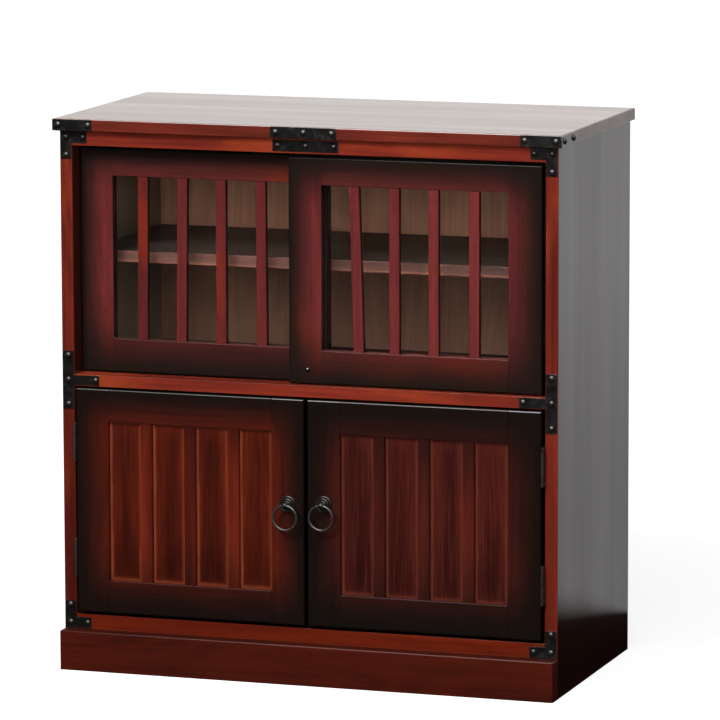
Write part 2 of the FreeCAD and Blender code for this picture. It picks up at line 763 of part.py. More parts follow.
def hinges():
    """Butt hinges: frame leaves, door leaves, pins and screws."""
    frame_leaves, pins, frame_screws = [], [], []
    for side in ("left", "right"):
        door_leaves, door_screws = [], []
        for level, middle_z in hinge_heights().items():
            frame_leaves.append(leaf(f"{side}_{level}_frame_leaf", side, False, middle_z, True))
            door_leaves.append(leaf(f"{side}_{level}_door_leaf", side, True, middle_z, False))
            low = (on_side(side, "pivot_x"), "pivot_y", f"{middle_z} - hinge_length / 2")
            pins.append(cylinder(f"{side}_{level}_pin", low, "hinge_pin_diameter", "hinge_length"))
            for rise in screw_rises():
                for inward, screws in ((False, frame_screws), (True, door_screws)):
                    start, turned = screw_start(side, inward, middle_z, rise)
                    screws.append(screw(turned, start, -1 if turned == "left" else 1))
        together(f"{side}_door_hinge_leaves", door_leaves)
        together(f"{side}_door_hinge_screws", door_screws)
    together("frame_hinge_leaves", frame_leaves)
    together("hinge_pins", pins)
    together("frame_hinge_screws", frame_screws)


def ring_pull(side):
    """Stepped rosette with a ball eye, and the ring that hangs in it."""
    x = on_side(side, "pull_x")
    z = f"{side}_pull_z"
    flange = doc.addObject("Part::Sphere", f"{side}_rosette_flange")
    bind(flange, {"Radius": "rosette_radius",
                  "Angle1": "asin((rosette_radius - rosette_height) / rosette_radius)"})
    put(flange, (x, "door_y + rosette_radius - rosette_height", z), FACE_FRONT)
    boss = doc.addObject("Part::Cone", f"{side}_rosette_boss")
    bind(boss, {"Radius1": "rosette_boss_diameter / 2", "Radius2": "pull_neck_diameter / 2",
                "Height": "rosette_boss_height - rosette_height / 2"})
    put(boss, (x, "door_y - rosette_height / 2", z), FACE_FRONT)
    neck = cylinder(f"{side}_pull_neck", (x, "door_y - rosette_height / 2", z), "pull_neck_diameter",
                    "pull_reach - rosette_height / 2 - pull_eye_diameter / 4", FACE_FRONT)
    ball = doc.addObject("Part::Sphere", f"{side}_pull_ball")
    bind(ball, {"Radius": "pull_eye_diameter / 2"})
    put(ball, (x, "ring_y", z))
    eye_width = "pull_eye_diameter"
    eye = cylinder(f"{side}_pull_eye", (f"{x} - {eye_width} / 2", "ring_y", z),
                   "ring_wire_diameter + 2 * pull_eye_play", eye_width, FACE_RIGHT)
    solid = joined(f"{side}_rosette_solid", [flange, boss, neck, ball])
    keep(less(f"{side}_pull_rosette", solid, eye), f"{side}_pull_rosette")
    ring = doc.addObject("Part::Torus", f"{side}_pull_ring")
    bind(ring, {"Radius1": "ring_radius", "Radius2": "ring_wire_diameter / 2"})
    put(ring, (x, "ring_y", f"{z} - ring_radius"), FACE_FRONT)
    keep(ring, f"{side}_pull_ring")


def plate(name, place, points):
    """Flat iron plate that lies on the carcass front, drawn from its own corner."""
    body = new_body(name, place)
    pad(body, outline(body, name + "_outline", "XZ_Plane", points), "plate_thickness")
    return body


def plates():
    """Corner straps, centre plates, angles and tees."""
    centre = []
    for label, y, z, height in (("top", "top_front_y", "strap_z", "strap_height"),
                                ("rail", "front_y", "rail_plate_z", "plate_band")):
        start = (minus("centre_plate_width / 2"), f"{y} - plate_thickness", z)
        centre.append(board(f"{label}_centre_plate", start, ("centre_plate_width", "plate_thickness", height)))
    together("centre_plates", centre)
    angles = []
    for side in ("left", "right"):
        strap = board(f"top_{side}_strap",
                      (beside(side, "top_half + plate_thickness", "strap_front_leg"),
                       "top_front_y - plate_thickness", "strap_z"),
                      ("strap_front_leg", "plate_thickness", "strap_height"))
        leg_x = "0" if side == "left" else "strap_front_leg - plate_thickness"
        block(strap, f"{side}_strap_leg", (leg_x, "0", "0"),
              ("plate_thickness", "strap_side_leg", "strap_height"))
        soften(strap, "plate_thickness", [("front", side)])
        keep(strap)
        corner = [("0", "0"), ("angle_leg", "0"), ("angle_leg", "plate_band"),
                  ("plate_band", "plate_band"), ("plate_band", "angle_leg"), ("0", "angle_leg")]
        corner = [(to_middle(side, u), v) for u, v in corner]
        x = on_side(side, "plate_outer")
        angles.append(plate(f"upper_{side}_angle", (x, "front_y", "upper_plate_top"),
                            [(u, minus(v)) for u, v in corner]))
        angles.append(plate(f"lower_{side}_angle", (x, "front_y", "lower_plate_bottom"), corner))
        half, arm = "tee_height / 2", "tee_arm_band / 2"
        tee = [("0", minus(half)), ("plate_band", minus(half)), ("plate_band", minus(arm)),
               ("tee_reach", minus(arm)), ("tee_reach", arm), ("plate_band", arm),
               ("plate_band", half), ("0", half)]
        tee = [(to_middle(side, u), v) for u, v in tee]
        keep(plate(f"{side}_tee_plate", (x, "front_y", "tee_mid_z"), tee))
    together("corner_angles", angles)


def nail(place, turn):
    head = doc.addObject("Part::Sphere", "nail")
    bind(head, {"Radius": "nail_radius", "Angle1": "asin((nail_radius - nail_height) / nail_radius)"})
    put(head, place, turn)
    return head


def nails():
    """Domed nails on every plate."""
    heads = []
    sunk = "nail_radius - nail_height"
    top_y = f"top_front_y - plate_thickness + {sunk}"
    front = f"front_y - plate_thickness + {sunk}"
    for step in (-1, 0, 1):
        x = f"{step} * centre_nail_pitch"
        heads.append(nail((x, top_y, "strap_mid_z"), FACE_FRONT))
        heads.append(nail((x, front, "rail_plate_z + plate_band / 2"), FACE_FRONT))
    for side in ("left", "right"):
        for step in (0, 1):
            x = on_side(side, f"top_half - nail_end - {step} * strap_front_nail_pitch")
            heads.append(nail((x, top_y, "strap_mid_z"), FACE_FRONT))
            y = f"top_front_y + strap_side_leg - nail_end - {step} * strap_side_nail_pitch"
            x = on_side(side, f"top_half + plate_thickness - ({sunk})")
            heads.append(nail((x, y, "strap_mid_z"), OUTWARD[side]))
        band_x = "plate_outer - plate_band / 2"
        upper_z, lower_z = "upper_plate_top - plate_band / 2", "lower_plate_bottom + plate_band / 2"
        for z, way in ((upper_z, -1), (lower_z, 1)):
            for across, along in ((0, 0), (1, 0), (0, 1)):
                x = on_side(side, f"{band_x} - {across} * angle_nail_pitch")
                heads.append(nail((x, front, f"{z} + {way * along} * angle_nail_pitch"), FACE_FRONT))
        for across, along in ((0, -1), (0, 0), (0, 1), (1, 0)):
            x = on_side(side, f"{band_x} - {across} * tee_arm_nail_pitch")
            heads.append(nail((x, front, f"tee_mid_z + {along} * tee_nail_pitch"), FACE_FRONT))
    together("plate_nails", heads)


def check():
    """Stop if a feature failed, a cut removed nothing or a node isn't sound."""
    for thing in doc.Objects:
        if "Invalid" in thing.State or "Error" in thing.State:
            raise RuntimeError(f"{thing.Label} failed: {thing.State}")
        if thing.TypeId.startswith("PartDesign::Subtractive"):
            if thing.Shape.Volume > thing.BaseFeature.Shape.Volume - TOUCH:
                raise RuntimeError(f"{thing.Label} cuts nothing")
    labels = [node.Label for node in nodes]
    if len(set(labels)) != len(labels):
        raise RuntimeError("two nodes share a name")
    for node in nodes:
        if node.Shape.isNull() or not node.Shape.isValid():
            raise RuntimeError(f"{node.Label} isn't sound")


def export():
    os.makedirs("parts", exist_ok=True)
    for node in nodes:
        node.Shape.exportStep(os.path.join("parts", node.Label + ".step"))


fill_sheets()
carcass()
side_panels()
shelves()
sliding_door("front", "slide_front_x", "slide_front_y")
sliding_door("rear", "slide_rear_x", "slide_rear_y")
stop_pin()
for door_side in ("left", "right"):
    hinged_door(door_side)
    ring_pull(door_side)
catches()
hinges()
plates()
nails()
doc.recompute()
check()
export()
print(len(nodes), "nodes")
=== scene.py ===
import math
from typing import NamedTuple

import bmesh
import bpy
from mathutils import Matrix, Vector


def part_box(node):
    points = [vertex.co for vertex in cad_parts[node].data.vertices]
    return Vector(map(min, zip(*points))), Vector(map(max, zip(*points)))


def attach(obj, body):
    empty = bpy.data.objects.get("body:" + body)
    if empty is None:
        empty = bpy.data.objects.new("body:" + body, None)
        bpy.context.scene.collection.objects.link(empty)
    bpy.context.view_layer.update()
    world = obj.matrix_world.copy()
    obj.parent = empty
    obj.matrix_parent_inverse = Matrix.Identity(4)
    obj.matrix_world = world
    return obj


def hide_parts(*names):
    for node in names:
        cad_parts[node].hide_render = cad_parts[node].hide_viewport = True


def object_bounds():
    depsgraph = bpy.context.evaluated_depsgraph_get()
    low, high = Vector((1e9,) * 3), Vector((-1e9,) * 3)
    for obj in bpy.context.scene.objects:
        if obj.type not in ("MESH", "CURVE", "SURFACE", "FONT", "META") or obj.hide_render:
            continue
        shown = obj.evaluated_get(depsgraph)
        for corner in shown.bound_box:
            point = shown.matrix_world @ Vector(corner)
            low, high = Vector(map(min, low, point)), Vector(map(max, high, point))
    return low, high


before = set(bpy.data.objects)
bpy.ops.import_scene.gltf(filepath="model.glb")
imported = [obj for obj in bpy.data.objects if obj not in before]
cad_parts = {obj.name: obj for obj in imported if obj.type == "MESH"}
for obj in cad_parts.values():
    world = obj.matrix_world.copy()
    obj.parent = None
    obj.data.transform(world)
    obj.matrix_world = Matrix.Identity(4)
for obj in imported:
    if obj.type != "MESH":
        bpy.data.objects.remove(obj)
cad_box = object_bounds()

# Finishes for a glass-door cupboard: stained boards, doors with blackened edges, iron plates with
# domed nails, ring pulls, and the pale stage that it stands on. Metres, X right, Y back, Z up.

bl_info = {
    "name": "Glass-door cupboard",
    "version": (1, 0, 0),
    "blender": (4, 5, 0),
    "location": "3D View > Sidebar > Cupboard",
    "description": "Finishes the boards, glass and ironwork of a glass-door cupboard and sets its stage",
    "category": "Object",
}

MERGE = 1e-6
BODY = "cabinet"
SIDES = ("left", "right")
AXES = "XYZ"
MM = 0.001
PLACE_DIGITS = 5


def srgb(red, green, blue):
    """A colour as a maker reads it off a chart, 0 to 255, as linear light."""
    shades = (shade / 255 for shade in (red, green, blue))
    return tuple(((shade + 0.055) / 1.055) ** 2.4 if shade > 0.04045 else shade / 12.92 for shade in shades)


def grey(level):
    return (level, level, level)


def colour(name, description, default):
    return bpy.props.FloatVectorProperty(
        name=name, description=description, default=default, size=3, min=0, max=1, subtype="COLOR")


def place_property(name, description, default):
    return bpy.props.FloatVectorProperty(
        name=name, description=description, default=default, unit="LENGTH", subtype="TRANSLATION")


def length_property(name, description, default):
    return bpy.props.FloatProperty(
        name=name, description=description, default=default, min=0, unit="LENGTH", subtype="DISTANCE")


def power_property(name, description, default):
    return bpy.props.FloatProperty(name=name, description=description, default=default, unit="POWER")


def share_property(name, description, default):
    return bpy.props.FloatProperty(
        name=name, description=description, default=default, min=0, max=1, subtype="FACTOR")


def angle_property(name, description, degrees):
    return bpy.props.FloatProperty(
        name=name, description=description, default=math.radians(degrees), unit="ROTATION", subtype="ANGLE")


def reach_property(name, default):
    return bpy.props.FloatVectorProperty(
        name=name, description="Reach of the black stain from the left, right, bottom and top edges",
        default=default, size=4, min=0, unit="LENGTH")


def glow_property(name, default):
    return bpy.props.FloatVectorProperty(
        name=name, description="How much orange each upright strip of the door shows, from the left",
        default=default, size=3, min=0, max=1)


class StageSettings(bpy.types.PropertyGroup):
    """Camera, lamps and floor."""

    camera_place: place_property("Camera place", "Where the camera stands", (1.9776, -5.838875, 1.3118))
    camera_turn: angle_property("Camera turn", "Turn of the camera to the left of straight ahead", 18.555)
    camera_dip: angle_property("Camera dip", "How far the camera looks below level", 8.864)
    camera_roll: angle_property("Camera roll", "Roll of the camera about its own line of sight", -0.158)
    lens: bpy.props.FloatProperty(
        name="Lens", description="Focal length in millimetres", default=271.635, unit="CAMERA")
    sensor: bpy.props.FloatProperty(
        name="Sensor", description="Sensor width in millimetres", default=36, unit="CAMERA")
    key_place: place_property("Key lamp place", "Where the large soft lamp stands", (-1.0, -3.4, 3.1))
    key_size: length_property("Key lamp size", "Width of the large soft lamp", 1.2)
    key_power: power_property("Key lamp power", "Power of the large soft lamp", 190)
    fill_place: place_property("Fill lamp place", "Where the broad front lamp stands", (0.7, -4.6, 1.8))
    fill_size: length_property("Fill lamp size", "Width of the broad front lamp", 2.2)
    fill_power: power_property("Fill lamp power", "Power of the broad front lamp", 90)
    overhead_place: place_property(
        "Overhead lamp place", "Where the lamp that lights the edges stands", (0.3, -1.1, 2.9))
    overhead_size: length_property("Overhead lamp size", "Width of the lamp that lights the edges", 3.2)
    overhead_power: power_property("Overhead lamp power", "Power of the lamp that lights the edges", 620)
    ambient: share_property("Ambient", "Strength of the light that comes from all round", 0.2)
    floor_size: length_property("Floor size", "Width of the floor", 60)


class WoodSettings(bpy.types.PropertyGroup):
    """Stains of the boards."""

    frame_light: colour("Frame, light", "Brightest grain of the red frame boards", srgb(126, 43, 28))
    frame_dark: colour("Frame, dark", "Darkest grain of the red frame boards", srgb(72, 22, 17))
    frame_glint: colour("Frame, glint", "Orange patches in the frame boards", srgb(140, 56, 27))
    top_light: colour("Top, light", "Brightest grain of the top board", srgb(112, 42, 30))
    top_dark: colour("Top, dark", "Darkest grain of the top board", srgb(68, 24, 18))
    foot_light: colour("Bottom board, light", "Brightest grain of the bottom board", srgb(102, 30, 11))
    foot_dark: colour("Bottom board, dark", "Darkest grain of the bottom board", srgb(64, 17, 7))
    # Painted shade: the side panels' outer face is a much darker copy of the frame's red.
    side_light: colour("Side, light", "Brightest grain of the side panels", srgb(58, 22, 15))
    side_dark: colour("Side, dark", "Darkest grain of the side panels", srgb(32, 13, 10))
    # Painted shade: the lip is the red stain just inside the front edge, made darker.
    lip: colour("Lip", "Side panels in front of the sliding doors", srgb(64, 21, 13))
    inner_light: colour(
        "Inside, light", "Brightest grain of the side panels' inner faces", srgb(136, 123, 103))
    inner_dark: colour("Inside, dark", "Darkest grain of the side panels' inner faces", srgb(102, 91, 77))
    # Painted shadow colour for the faces inside the carcass.
    shadow: colour("Hidden face", "Faces inside the carcass, behind its front edge", srgb(34, 18, 14))
    plinth_light: colour("Plinth, light", "Brightest grain of the plinth", srgb(72, 22, 10))
    plinth_dark: colour("Plinth, dark", "Darkest grain of the plinth", srgb(42, 12, 7))
    back_light: colour("Back, light", "Brightest grain of the back panel", srgb(214, 152, 122))
    back_dark: colour("Back, dark", "Darkest grain of the back panel", srgb(168, 116, 92))
    shelf_light: colour("Shelf, light", "Brightest grain of the shelves", srgb(80, 48, 41))
    shelf_dark: colour("Shelf, dark", "Darkest grain of the shelves", srgb(56, 33, 28))
    # A lighter colour along the shelves' lower edge.
    shelf_edge_tone: colour("Shelf, worn edge", "Thin stain along the shelves' lower edge", srgb(116, 68, 56))
    # Shelf tops: painted shade behind their front edge, and painted light far in, where they lie in shade.
    shelf_top: colour("Shelf top", "Shelves behind their front edge", srgb(46, 34, 28))
    shelf_deep: colour("Shelf top, far in", "Shelves towards the back panel", srgb(65, 59, 51))
    raw_light: colour("Raw wood, light", "Brightest grain of the hidden blocks", srgb(188, 152, 112))
    raw_dark: colour("Raw wood, dark", "Darkest grain of the hidden blocks", srgb(150, 112, 78))
    wine_light: colour("Sliding door, light", "Brightest grain of the sliding doors", srgb(112, 45, 42))
    wine_dark: colour("Sliding door, dark", "Darkest grain of the sliding doors", srgb(80, 29, 31))
    glint: colour("Glint", "Orange stain that shows through in soft patches", srgb(132, 44, 24))
    slide_black: colour("Sliding door, black", "Black stain round the sliding doors", srgb(17, 17, 13))
    # The black sides of the stiles and slats are partly stain, partly painted shade.
    slide_side: colour("Sliding door, sides", "Black sides of the stiles and slats", srgb(14, 8, 6))
    # From the bottom edge the black reaches furthest: partly stain, partly painted shade where less light
    # falls.
    front_reach: reach_property("Front sliding door, black edges", (0.040, 0.054, 0.096, 0.064))
    rear_reach: reach_property("Rear sliding door, black edges", (0.038, 0.042, 0.110, 0.054))
    left_light: colour("Left door, light", "Brightest grain of the left hinged door", srgb(90, 28, 13))
    left_dark: colour("Left door, dark", "Darkest grain of the left hinged door", srgb(52, 15, 10))
    # The left door's worn-edge colour is also the bottom board's painted highlight.
    left_wear: colour("Left door, worn edge", "Thin stain round its panel's fields", srgb(132, 60, 36))
    right_light: colour("Right door, light", "Brightest grain of the right hinged door", srgb(76, 27, 20))
    right_dark: colour("Right door, dark", "Darkest grain of the right hinged door", srgb(42, 14, 12))
    right_wear: colour("Right door, worn edge", "Thin stain round its panel's fields", srgb(106, 47, 36))
    black: colour("Blackened edge", "Black stain round the edges of the hinged doors", srgb(15, 12, 9))
    # From the bottom edge the black reaches furthest: partly stain, partly painted shade where less light
    # falls.
    left_reach: reach_property("Left door, black edges", (0.046, 0.044, 0.074, 0.052))
    right_reach: reach_property("Right door, black edges", (0.047, 0.058, 0.086, 0.096))
    left_glow: glow_property("Left door, strips", (0.38, 0.0, 0.34))
    right_glow: glow_property("Right door, strips", (0.0, 0.0, 0.08))


class IronSettings(bpy.types.PropertyGroup):
    """Plates, nails, screws, pulls and catches."""

    plate: colour("Plates", "Black iron of the plates", srgb(13, 11, 10))
    worn_plate: colour("Worn plates", "Plates where the black has rubbed thin", srgb(20, 18, 16))
    iron: colour("Iron", "Black iron of the nails and pulls", srgb(21, 18, 16))
    worn_iron: colour("Worn iron", "Iron where the black has rubbed thin", srgb(36, 32, 29))
    # The rings' lighter iron is a painted sheen for the soft light round the wire.
    ring: colour("Ring", "Rubbed iron of the rings", srgb(38, 36, 34))
    steel: colour("Steel", "Steel of the hinges and pegs", srgb(108, 101, 94))
    worn_steel: colour("Worn steel", "Steel where it has dulled", srgb(80, 74, 68))
    catch: colour("Catches", "Brown plastic of the door catches", srgb(70, 44, 32))
    plate_bevel: length_property("Plate bevel", "Softened edge of the iron plates", 0.0003)
    nail_hammering: length_property("Nail hammering", "Depth of the hammer marks on the nails", 0.00005)
    leaf_thickness: length_property("Leaf thickness", "Thickness of the hinge leaves", 0.0011)
    screw_slot: length_property("Screw slot", "Width of the crossed slots in the screw heads", 0.0007)
    screw_slot_depth: length_property("Screw slot depth", "Depth of the crossed slots", 0.0008)
    ring_hammering: length_property("Ring hammering", "Unevenness of the ring's wire", 0.0001)
    eye_radius: length_property("Eye radius", "Radius of the ball that the ring passes through", 0.00325)
    eye_play: length_property("Eye play", "Room round the wire in the eye, on each side", 0.0006)


class GlassSettings(bpy.types.PropertyGroup):
    """Panes."""

    tint: colour("Glass tint", "Colour of light that has passed a pane", (0.93, 0.95, 0.94))
    dust: colour("Dust", "Colour of light that has passed the dust on a pane", (0.8, 0.8, 0.78))
    ior: bpy.props.FloatProperty(name="IOR", description="Bend of light in the glass", default=1.45, min=1)


class CupboardSettings(bpy.types.PropertyGroup):
    """All settings of the cupboard."""

    stage: bpy.props.PointerProperty(type=StageSettings, name="Stage", description="Camera, lamps and floor")
    wood: bpy.props.PointerProperty(type=WoodSettings, name="Wood", description="Stains of the boards")
    iron: bpy.props.PointerProperty(type=IronSettings, name="Iron", description="Plates, nails and pulls")
    glass: bpy.props.PointerProperty(type=GlassSettings, name="Glass", description="Panes")


class Pattern(NamedTuple):
    """Smooth noise drawn out along a board, in marks to the metre along it and across it."""

    along: float
    across: float
    detail: int
    offset: float = 0
    distortion: float = 0.0


# The value that a noise wanders about, and where a Mix node has its share, its colours and its result.
NOISE_MIDDLE = 0.5
MIX_SHARE, MIX_FIRST, MIX_SECOND, MIX_RESULT = 0, 6, 7, 2


class Tree:
    """Adds nodes to a node tree, one call for each."""

    def __init__(self, tree):
        self.tree = tree

    def feed(self, socket, value):
        """Link a socket to another, or set it to a plain value."""
        if isinstance(value, bpy.types.NodeSocket):
            self.tree.links.new(value, socket)
        elif socket.type == "RGBA" and len(value) == 3:
            socket.default_value = (*value, 1)
        else:
            socket.default_value = value

    def add(self, kind, inputs=None, **settings):
        """A new node with its settings and inputs."""
        node = self.tree.nodes.new(kind)
        for name, value in settings.items():
            setattr(node, name, value)
        for key, value in (inputs or {}).items():
            self.feed(node.inputs[key], value)
        return node

    def math(self, operation, *values):
        return self.add("ShaderNodeMath", dict(enumerate(values)), operation=operation).outputs[0]

    def times(self, first, *others):
        """The product of several values."""
        for value in others:
            first = self.math("MULTIPLY", first, value)
        return first

    def minus(self, first, second):
        return self.math("SUBTRACT", first, second)

    def weighed(self, layers, shares):
        """The sum of named layers, each by its own share."""
        total = 0.0
        for name, share in shares.items():
            total = self.math("MULTIPLY_ADD", layers[name], share, total)
        return total

    def between(self, share, low, high):
        """The low value, turning into the high one as share goes from 0 to 1."""
        return self.math("MULTIPLY_ADD", share, high - low, low)

    def wander(self, noise, width, middle=0.0):
        """A value that wanders about its middle as a noise does."""
        return self.math("MULTIPLY_ADD", self.minus(noise, NOISE_MIDDLE), width, middle)

    def fade(self, value, low, high):
        """0 at low and 1 at high, eased at both ends."""
        inputs = {"Value": value, "From Min": low, "From Max": high}
        return self.add("ShaderNodeMapRange", inputs, interpolation_type="SMOOTHSTEP").outputs[0]

    def mix(self, share, first, second, blend="MIX"):
        """The first colour, turning into the second as share goes from 0 to 1."""
        node = self.add("ShaderNodeMix", data_type="RGBA", blend_type=blend)
        self.feed(node.inputs[MIX_SHARE], share)
        self.feed(node.inputs[MIX_FIRST], first)
        self.feed(node.inputs[MIX_SECOND], second)
        return node.outputs[MIX_RESULT]

    def noise(self, vector, detail, scale=1, distortion=0.0):
        """Smooth noise from 0 to 1."""
        inputs = {"Vector": vector, "Scale": scale, "Detail": detail, "Distortion": distortion}
        return self.add("ShaderNodeTexNoise", inputs).outputs[0]

    def drawn(self, grain, pattern, shift=0):
        """A pattern that runs along one axis. The shift moves it, so that no two boards look alike."""
        scale = [pattern.along if axis == grain else pattern.across for axis in AXES]
        inputs = {"Vector": self.place(), "Scale": scale, "Location": grey(shift + pattern.offset)}
        mapped = self.add("ShaderNodeMapping", inputs).outputs[0]
        return self.noise(mapped, detail=pattern.detail, distortion=pattern.distortion)

    def bump(self, height, depth):
        """The normal of a skin whose height goes from 0 to 1 over a depth."""
        return self.add("ShaderNodeBump", {"Height": height, "Distance": depth, "Strength": 1}).outputs[0]

    def place(self):
        return self.add("ShaderNodeTexCoord").outputs["Object"]

    def axes(self, place):
        return self.add("ShaderNodeSeparateXYZ", {0: place}).outputs

    def surface(self, shader):
        self.add("ShaderNodeOutputMaterial", {"Surface": shader})

    def principled(self, **inputs):
        """A surface shader, with each input named in plain letters."""
        named = {key.replace("_", " "): value for key, value in inputs.items()}
        return self.add("ShaderNodeBsdfPrincipled", named).outputs[0]


def new_material(name):
    """An empty material with the tree that fills it."""
    material = bpy.data.materials.new(name)
    material.use_nodes = True
    material.node_tree.nodes.clear()
    return material, Tree(material.node_tree)


class Gloss(NamedTuple):
    """How a lacquered board shines: its coat, and the bare stain under it, with the depth of its grain."""

    coat: float
    coat_roughness: float
    bare: float = 0.02
    roughness: float = 0.45
    relief: float = 0.00005
    uneven: float = 0.0


POLISHED = Gloss(coat=1.0, coat_roughness=0.06, relief=0.000012, uneven=0.16)
SATIN = Gloss(coat=0.5, coat_roughness=0.12)
RUBBED = Gloss(coat=0.32, coat_roughness=0.13)
EASED = Gloss(coat=0.16, coat_roughness=0.16)
FAINT = Gloss(coat=0.09, coat_roughness=0.16)
DULL = Gloss(coat=0.15, coat_roughness=0.3, bare=0.15, roughness=0.5, relief=0.00003)
MATT = Gloss(coat=0.0, coat_roughness=0.3, bare=0.3, roughness=0.62, relief=0.0001)

# Figure of the wood: its patterns, how much each counts, and where each starts and ends.
CLOUD = Pattern(2.4, 14, detail=2)
BEND = Pattern(1.6, 12, detail=1, offset=3)
STREAK = Pattern(6, 260, detail=3, offset=7, distortion=0.2)
FIBRE = Pattern(30, 900, detail=2, offset=11)
PORE = Pattern(55, 1500, detail=1, offset=17)
ORANGE = Pattern(7, 20, detail=3, offset=23)
FILM = Pattern(1.2, 22, detail=3, offset=29)
RING_TURNS = 90
FIGURE_SHARES = {"streak": 0.5, "rings": 0.05, "cloud": 0.75, "fibre": 0.25}
HEIGHT_SHARES = {"fibre": 1.0, "streak": 0.8, "pore": -0.8}
STAIN_RANGE = (0.4, 1.1)
PORE_RANGE = (0.64, 0.74)
PORE_SHARE = 0.45
ORANGE_RANGE = (0.5, 0.75)
ORANGE_SHARE = 0.75
FILM_RANGE = (0.3, 0.7)
COAT_RELIEF_SHARE = 0.2
ROUGHNESS_SWING = 0.25

# Each finish's own place in the figure, by its name.
SHIFTS = {
    "top_board": 0, "upper_board": 1, "middle_board": 2, "bottom_board": 3, "left_side_panel": 4,
    "right_side_panel": 5, "plinth_board": 6, "back_panel": 7, "upper_shelf": 8, "lower_shelf": 9,
    "glue_blocks": 10, "front_stiles": 12, "rear_stiles": 13, "front_top_rail": 14, "rear_top_rail": 15,
    "front_slats": 16, "rear_slats": 17, "front_bottom_rail": 18, "rear_bottom_rail": 19,
    "left_door_stiles": 20, "right_door_stiles": 21, "left_door_top_rail": 22, "right_door_top_rail": 23,
    "left_door_mullions": 24, "right_door_mullions": 25, "left_door_panel": 26, "right_door_panel": 27,
    "left_door_bottom_rail": 28, "right_door_bottom_rail": 29}


def wood(name, light, dark, grain, gloss, tint=None, glint=None):
    """Stained wood with its figure, streaks and pores along one axis. A tint works on the stain by place."""
    material, tree = new_material(name)
    shift = SHIFTS[name]
    streak = tree.drawn(grain, STREAK, shift)
    pore = tree.fade(tree.drawn(grain, PORE, shift), *PORE_RANGE)
    layers = {
        "streak": streak,
        "rings": tree.math("SINE", tree.times(tree.drawn(grain, BEND, shift), RING_TURNS)),
        "cloud": tree.drawn(grain, CLOUD, shift),
        "fibre": tree.drawn(grain, FIBRE, shift),
        "pore": pore}
    stain = tree.mix(tree.fade(tree.weighed(layers, FIGURE_SHARES), *STAIN_RANGE), dark, light)
    if glint is not None:
        patch = tree.fade(tree.drawn(grain, ORANGE, shift), *ORANGE_RANGE)
        stain = tree.mix(tree.times(patch, ORANGE_SHARE), stain, glint)
    stain = tree.mix(tree.times(pore, PORE_SHARE), stain, dark, "MULTIPLY")
    if tint:
        stain = tint(tree, stain, tree.axes(tree.place()))
    height = tree.weighed(layers, HEIGHT_SHARES)
    coat = gloss.coat
    if gloss.uneven:
        film = tree.fade(tree.drawn(grain, FILM, shift), *FILM_RANGE)
        coat = tree.between(film, gloss.coat - gloss.uneven, gloss.coat)
    tree.surface(tree.principled(
        Base_Color=stain, Roughness=tree.wander(streak, ROUGHNESS_SWING, gloss.roughness),
        Specular_IOR_Level=gloss.bare, Normal=tree.bump(height, gloss.relief),
        Coat_Weight=coat, Coat_Roughness=gloss.coat_roughness,
        Coat_Normal=tree.bump(height, gloss.relief * COAT_RELIEF_SHARE)))
    return material


BURN_PATTERN = Pattern(14, 14, detail=2)
BURN_WANDER = 0.009
BURN_SHARE = 0.97


def blackened(limits, widths, black, share=BURN_SHARE):
    """Tint that darkens a door to black towards its left, right, bottom and top edges."""
    low, high = limits

    def tint(tree, stain, axes):
        sway = tree.wander(tree.drawn("Z", BURN_PATTERN), BURN_WANDER)
        distances = (
            tree.minus(axes[0], low.x), tree.minus(high.x, axes[0]),
            tree.minus(axes[2], low.z), tree.minus(high.z, axes[2]))
        kept = tree.times(*(
            tree.fade(tree.math("ADD", distance, sway), 0.0, width)
            for distance, width in zip(distances, widths)))
        return tree.mix(tree.times(tree.minus(1.0, kept), share), stain, black)

    return tint


def both(*tints):
    """One tint that lays several over each other."""

    def tint(tree, stain, axes):
        for layer in tints:
            stain = layer(tree, stain, axes)
        return stain

    return tint


def shaded(share):
    """Tint that leaves a share of a board's stain."""

    def tint(tree, stain, axes):
        return tree.mix(1.0, stain, grey(share), "MULTIPLY")

    return tint


def faded_down(top, bottom, share, level):
    """Tint of painted shade that darkens a board towards its foot."""

    def tint(tree, stain, axes):
        fall = tree.times(tree.minus(1.0, tree.fade(axes[2], bottom, top)), share)
        return tree.mix(fall, stain, grey(level), "MULTIPLY")

    return tint


LOWER_EDGE_PATTERN = Pattern(12, 40, detail=2)
LOWER_EDGE_RANGE = (0.3, 0.6)
LOWER_EDGE_SHARES = (0.3, 0.7)


def lighter_below(bottom, reach, edge_tone):
    """Tint that lays a lighter colour along a board's lower edge, most of all up to a third of its reach."""

    def tint(tree, stain, axes):
        near = tree.fade(axes[2], bottom + reach, bottom + reach / 3)
        patch = tree.fade(tree.drawn("X", LOWER_EDGE_PATTERN), *LOWER_EDGE_RANGE)
        return tree.mix(tree.times(near, tree.between(patch, *LOWER_EDGE_SHARES)), stain, edge_tone)

    return tint


# A door panel's fields: how far and how strongly each of their edges is worn, and their darker middle.
FIELD_WEAR = {"left": (0.0045, 1.0), "right": (0.006, 0.65), "foot": (0.006, 0.6), "head": (0.005, 0.3)}
FIELD_WEAR_SHARE = 0.85
FIELD_PATTERN = Pattern(20, 60, detail=3)
FIELD_WANDER = 0.004
MIDDLE_REACH = 0.022
MIDDLE_SHARE = 0.8
LINE_PATTERN = Pattern(18, 640, detail=1)
LINE_RANGE = (0.5, 0.75)


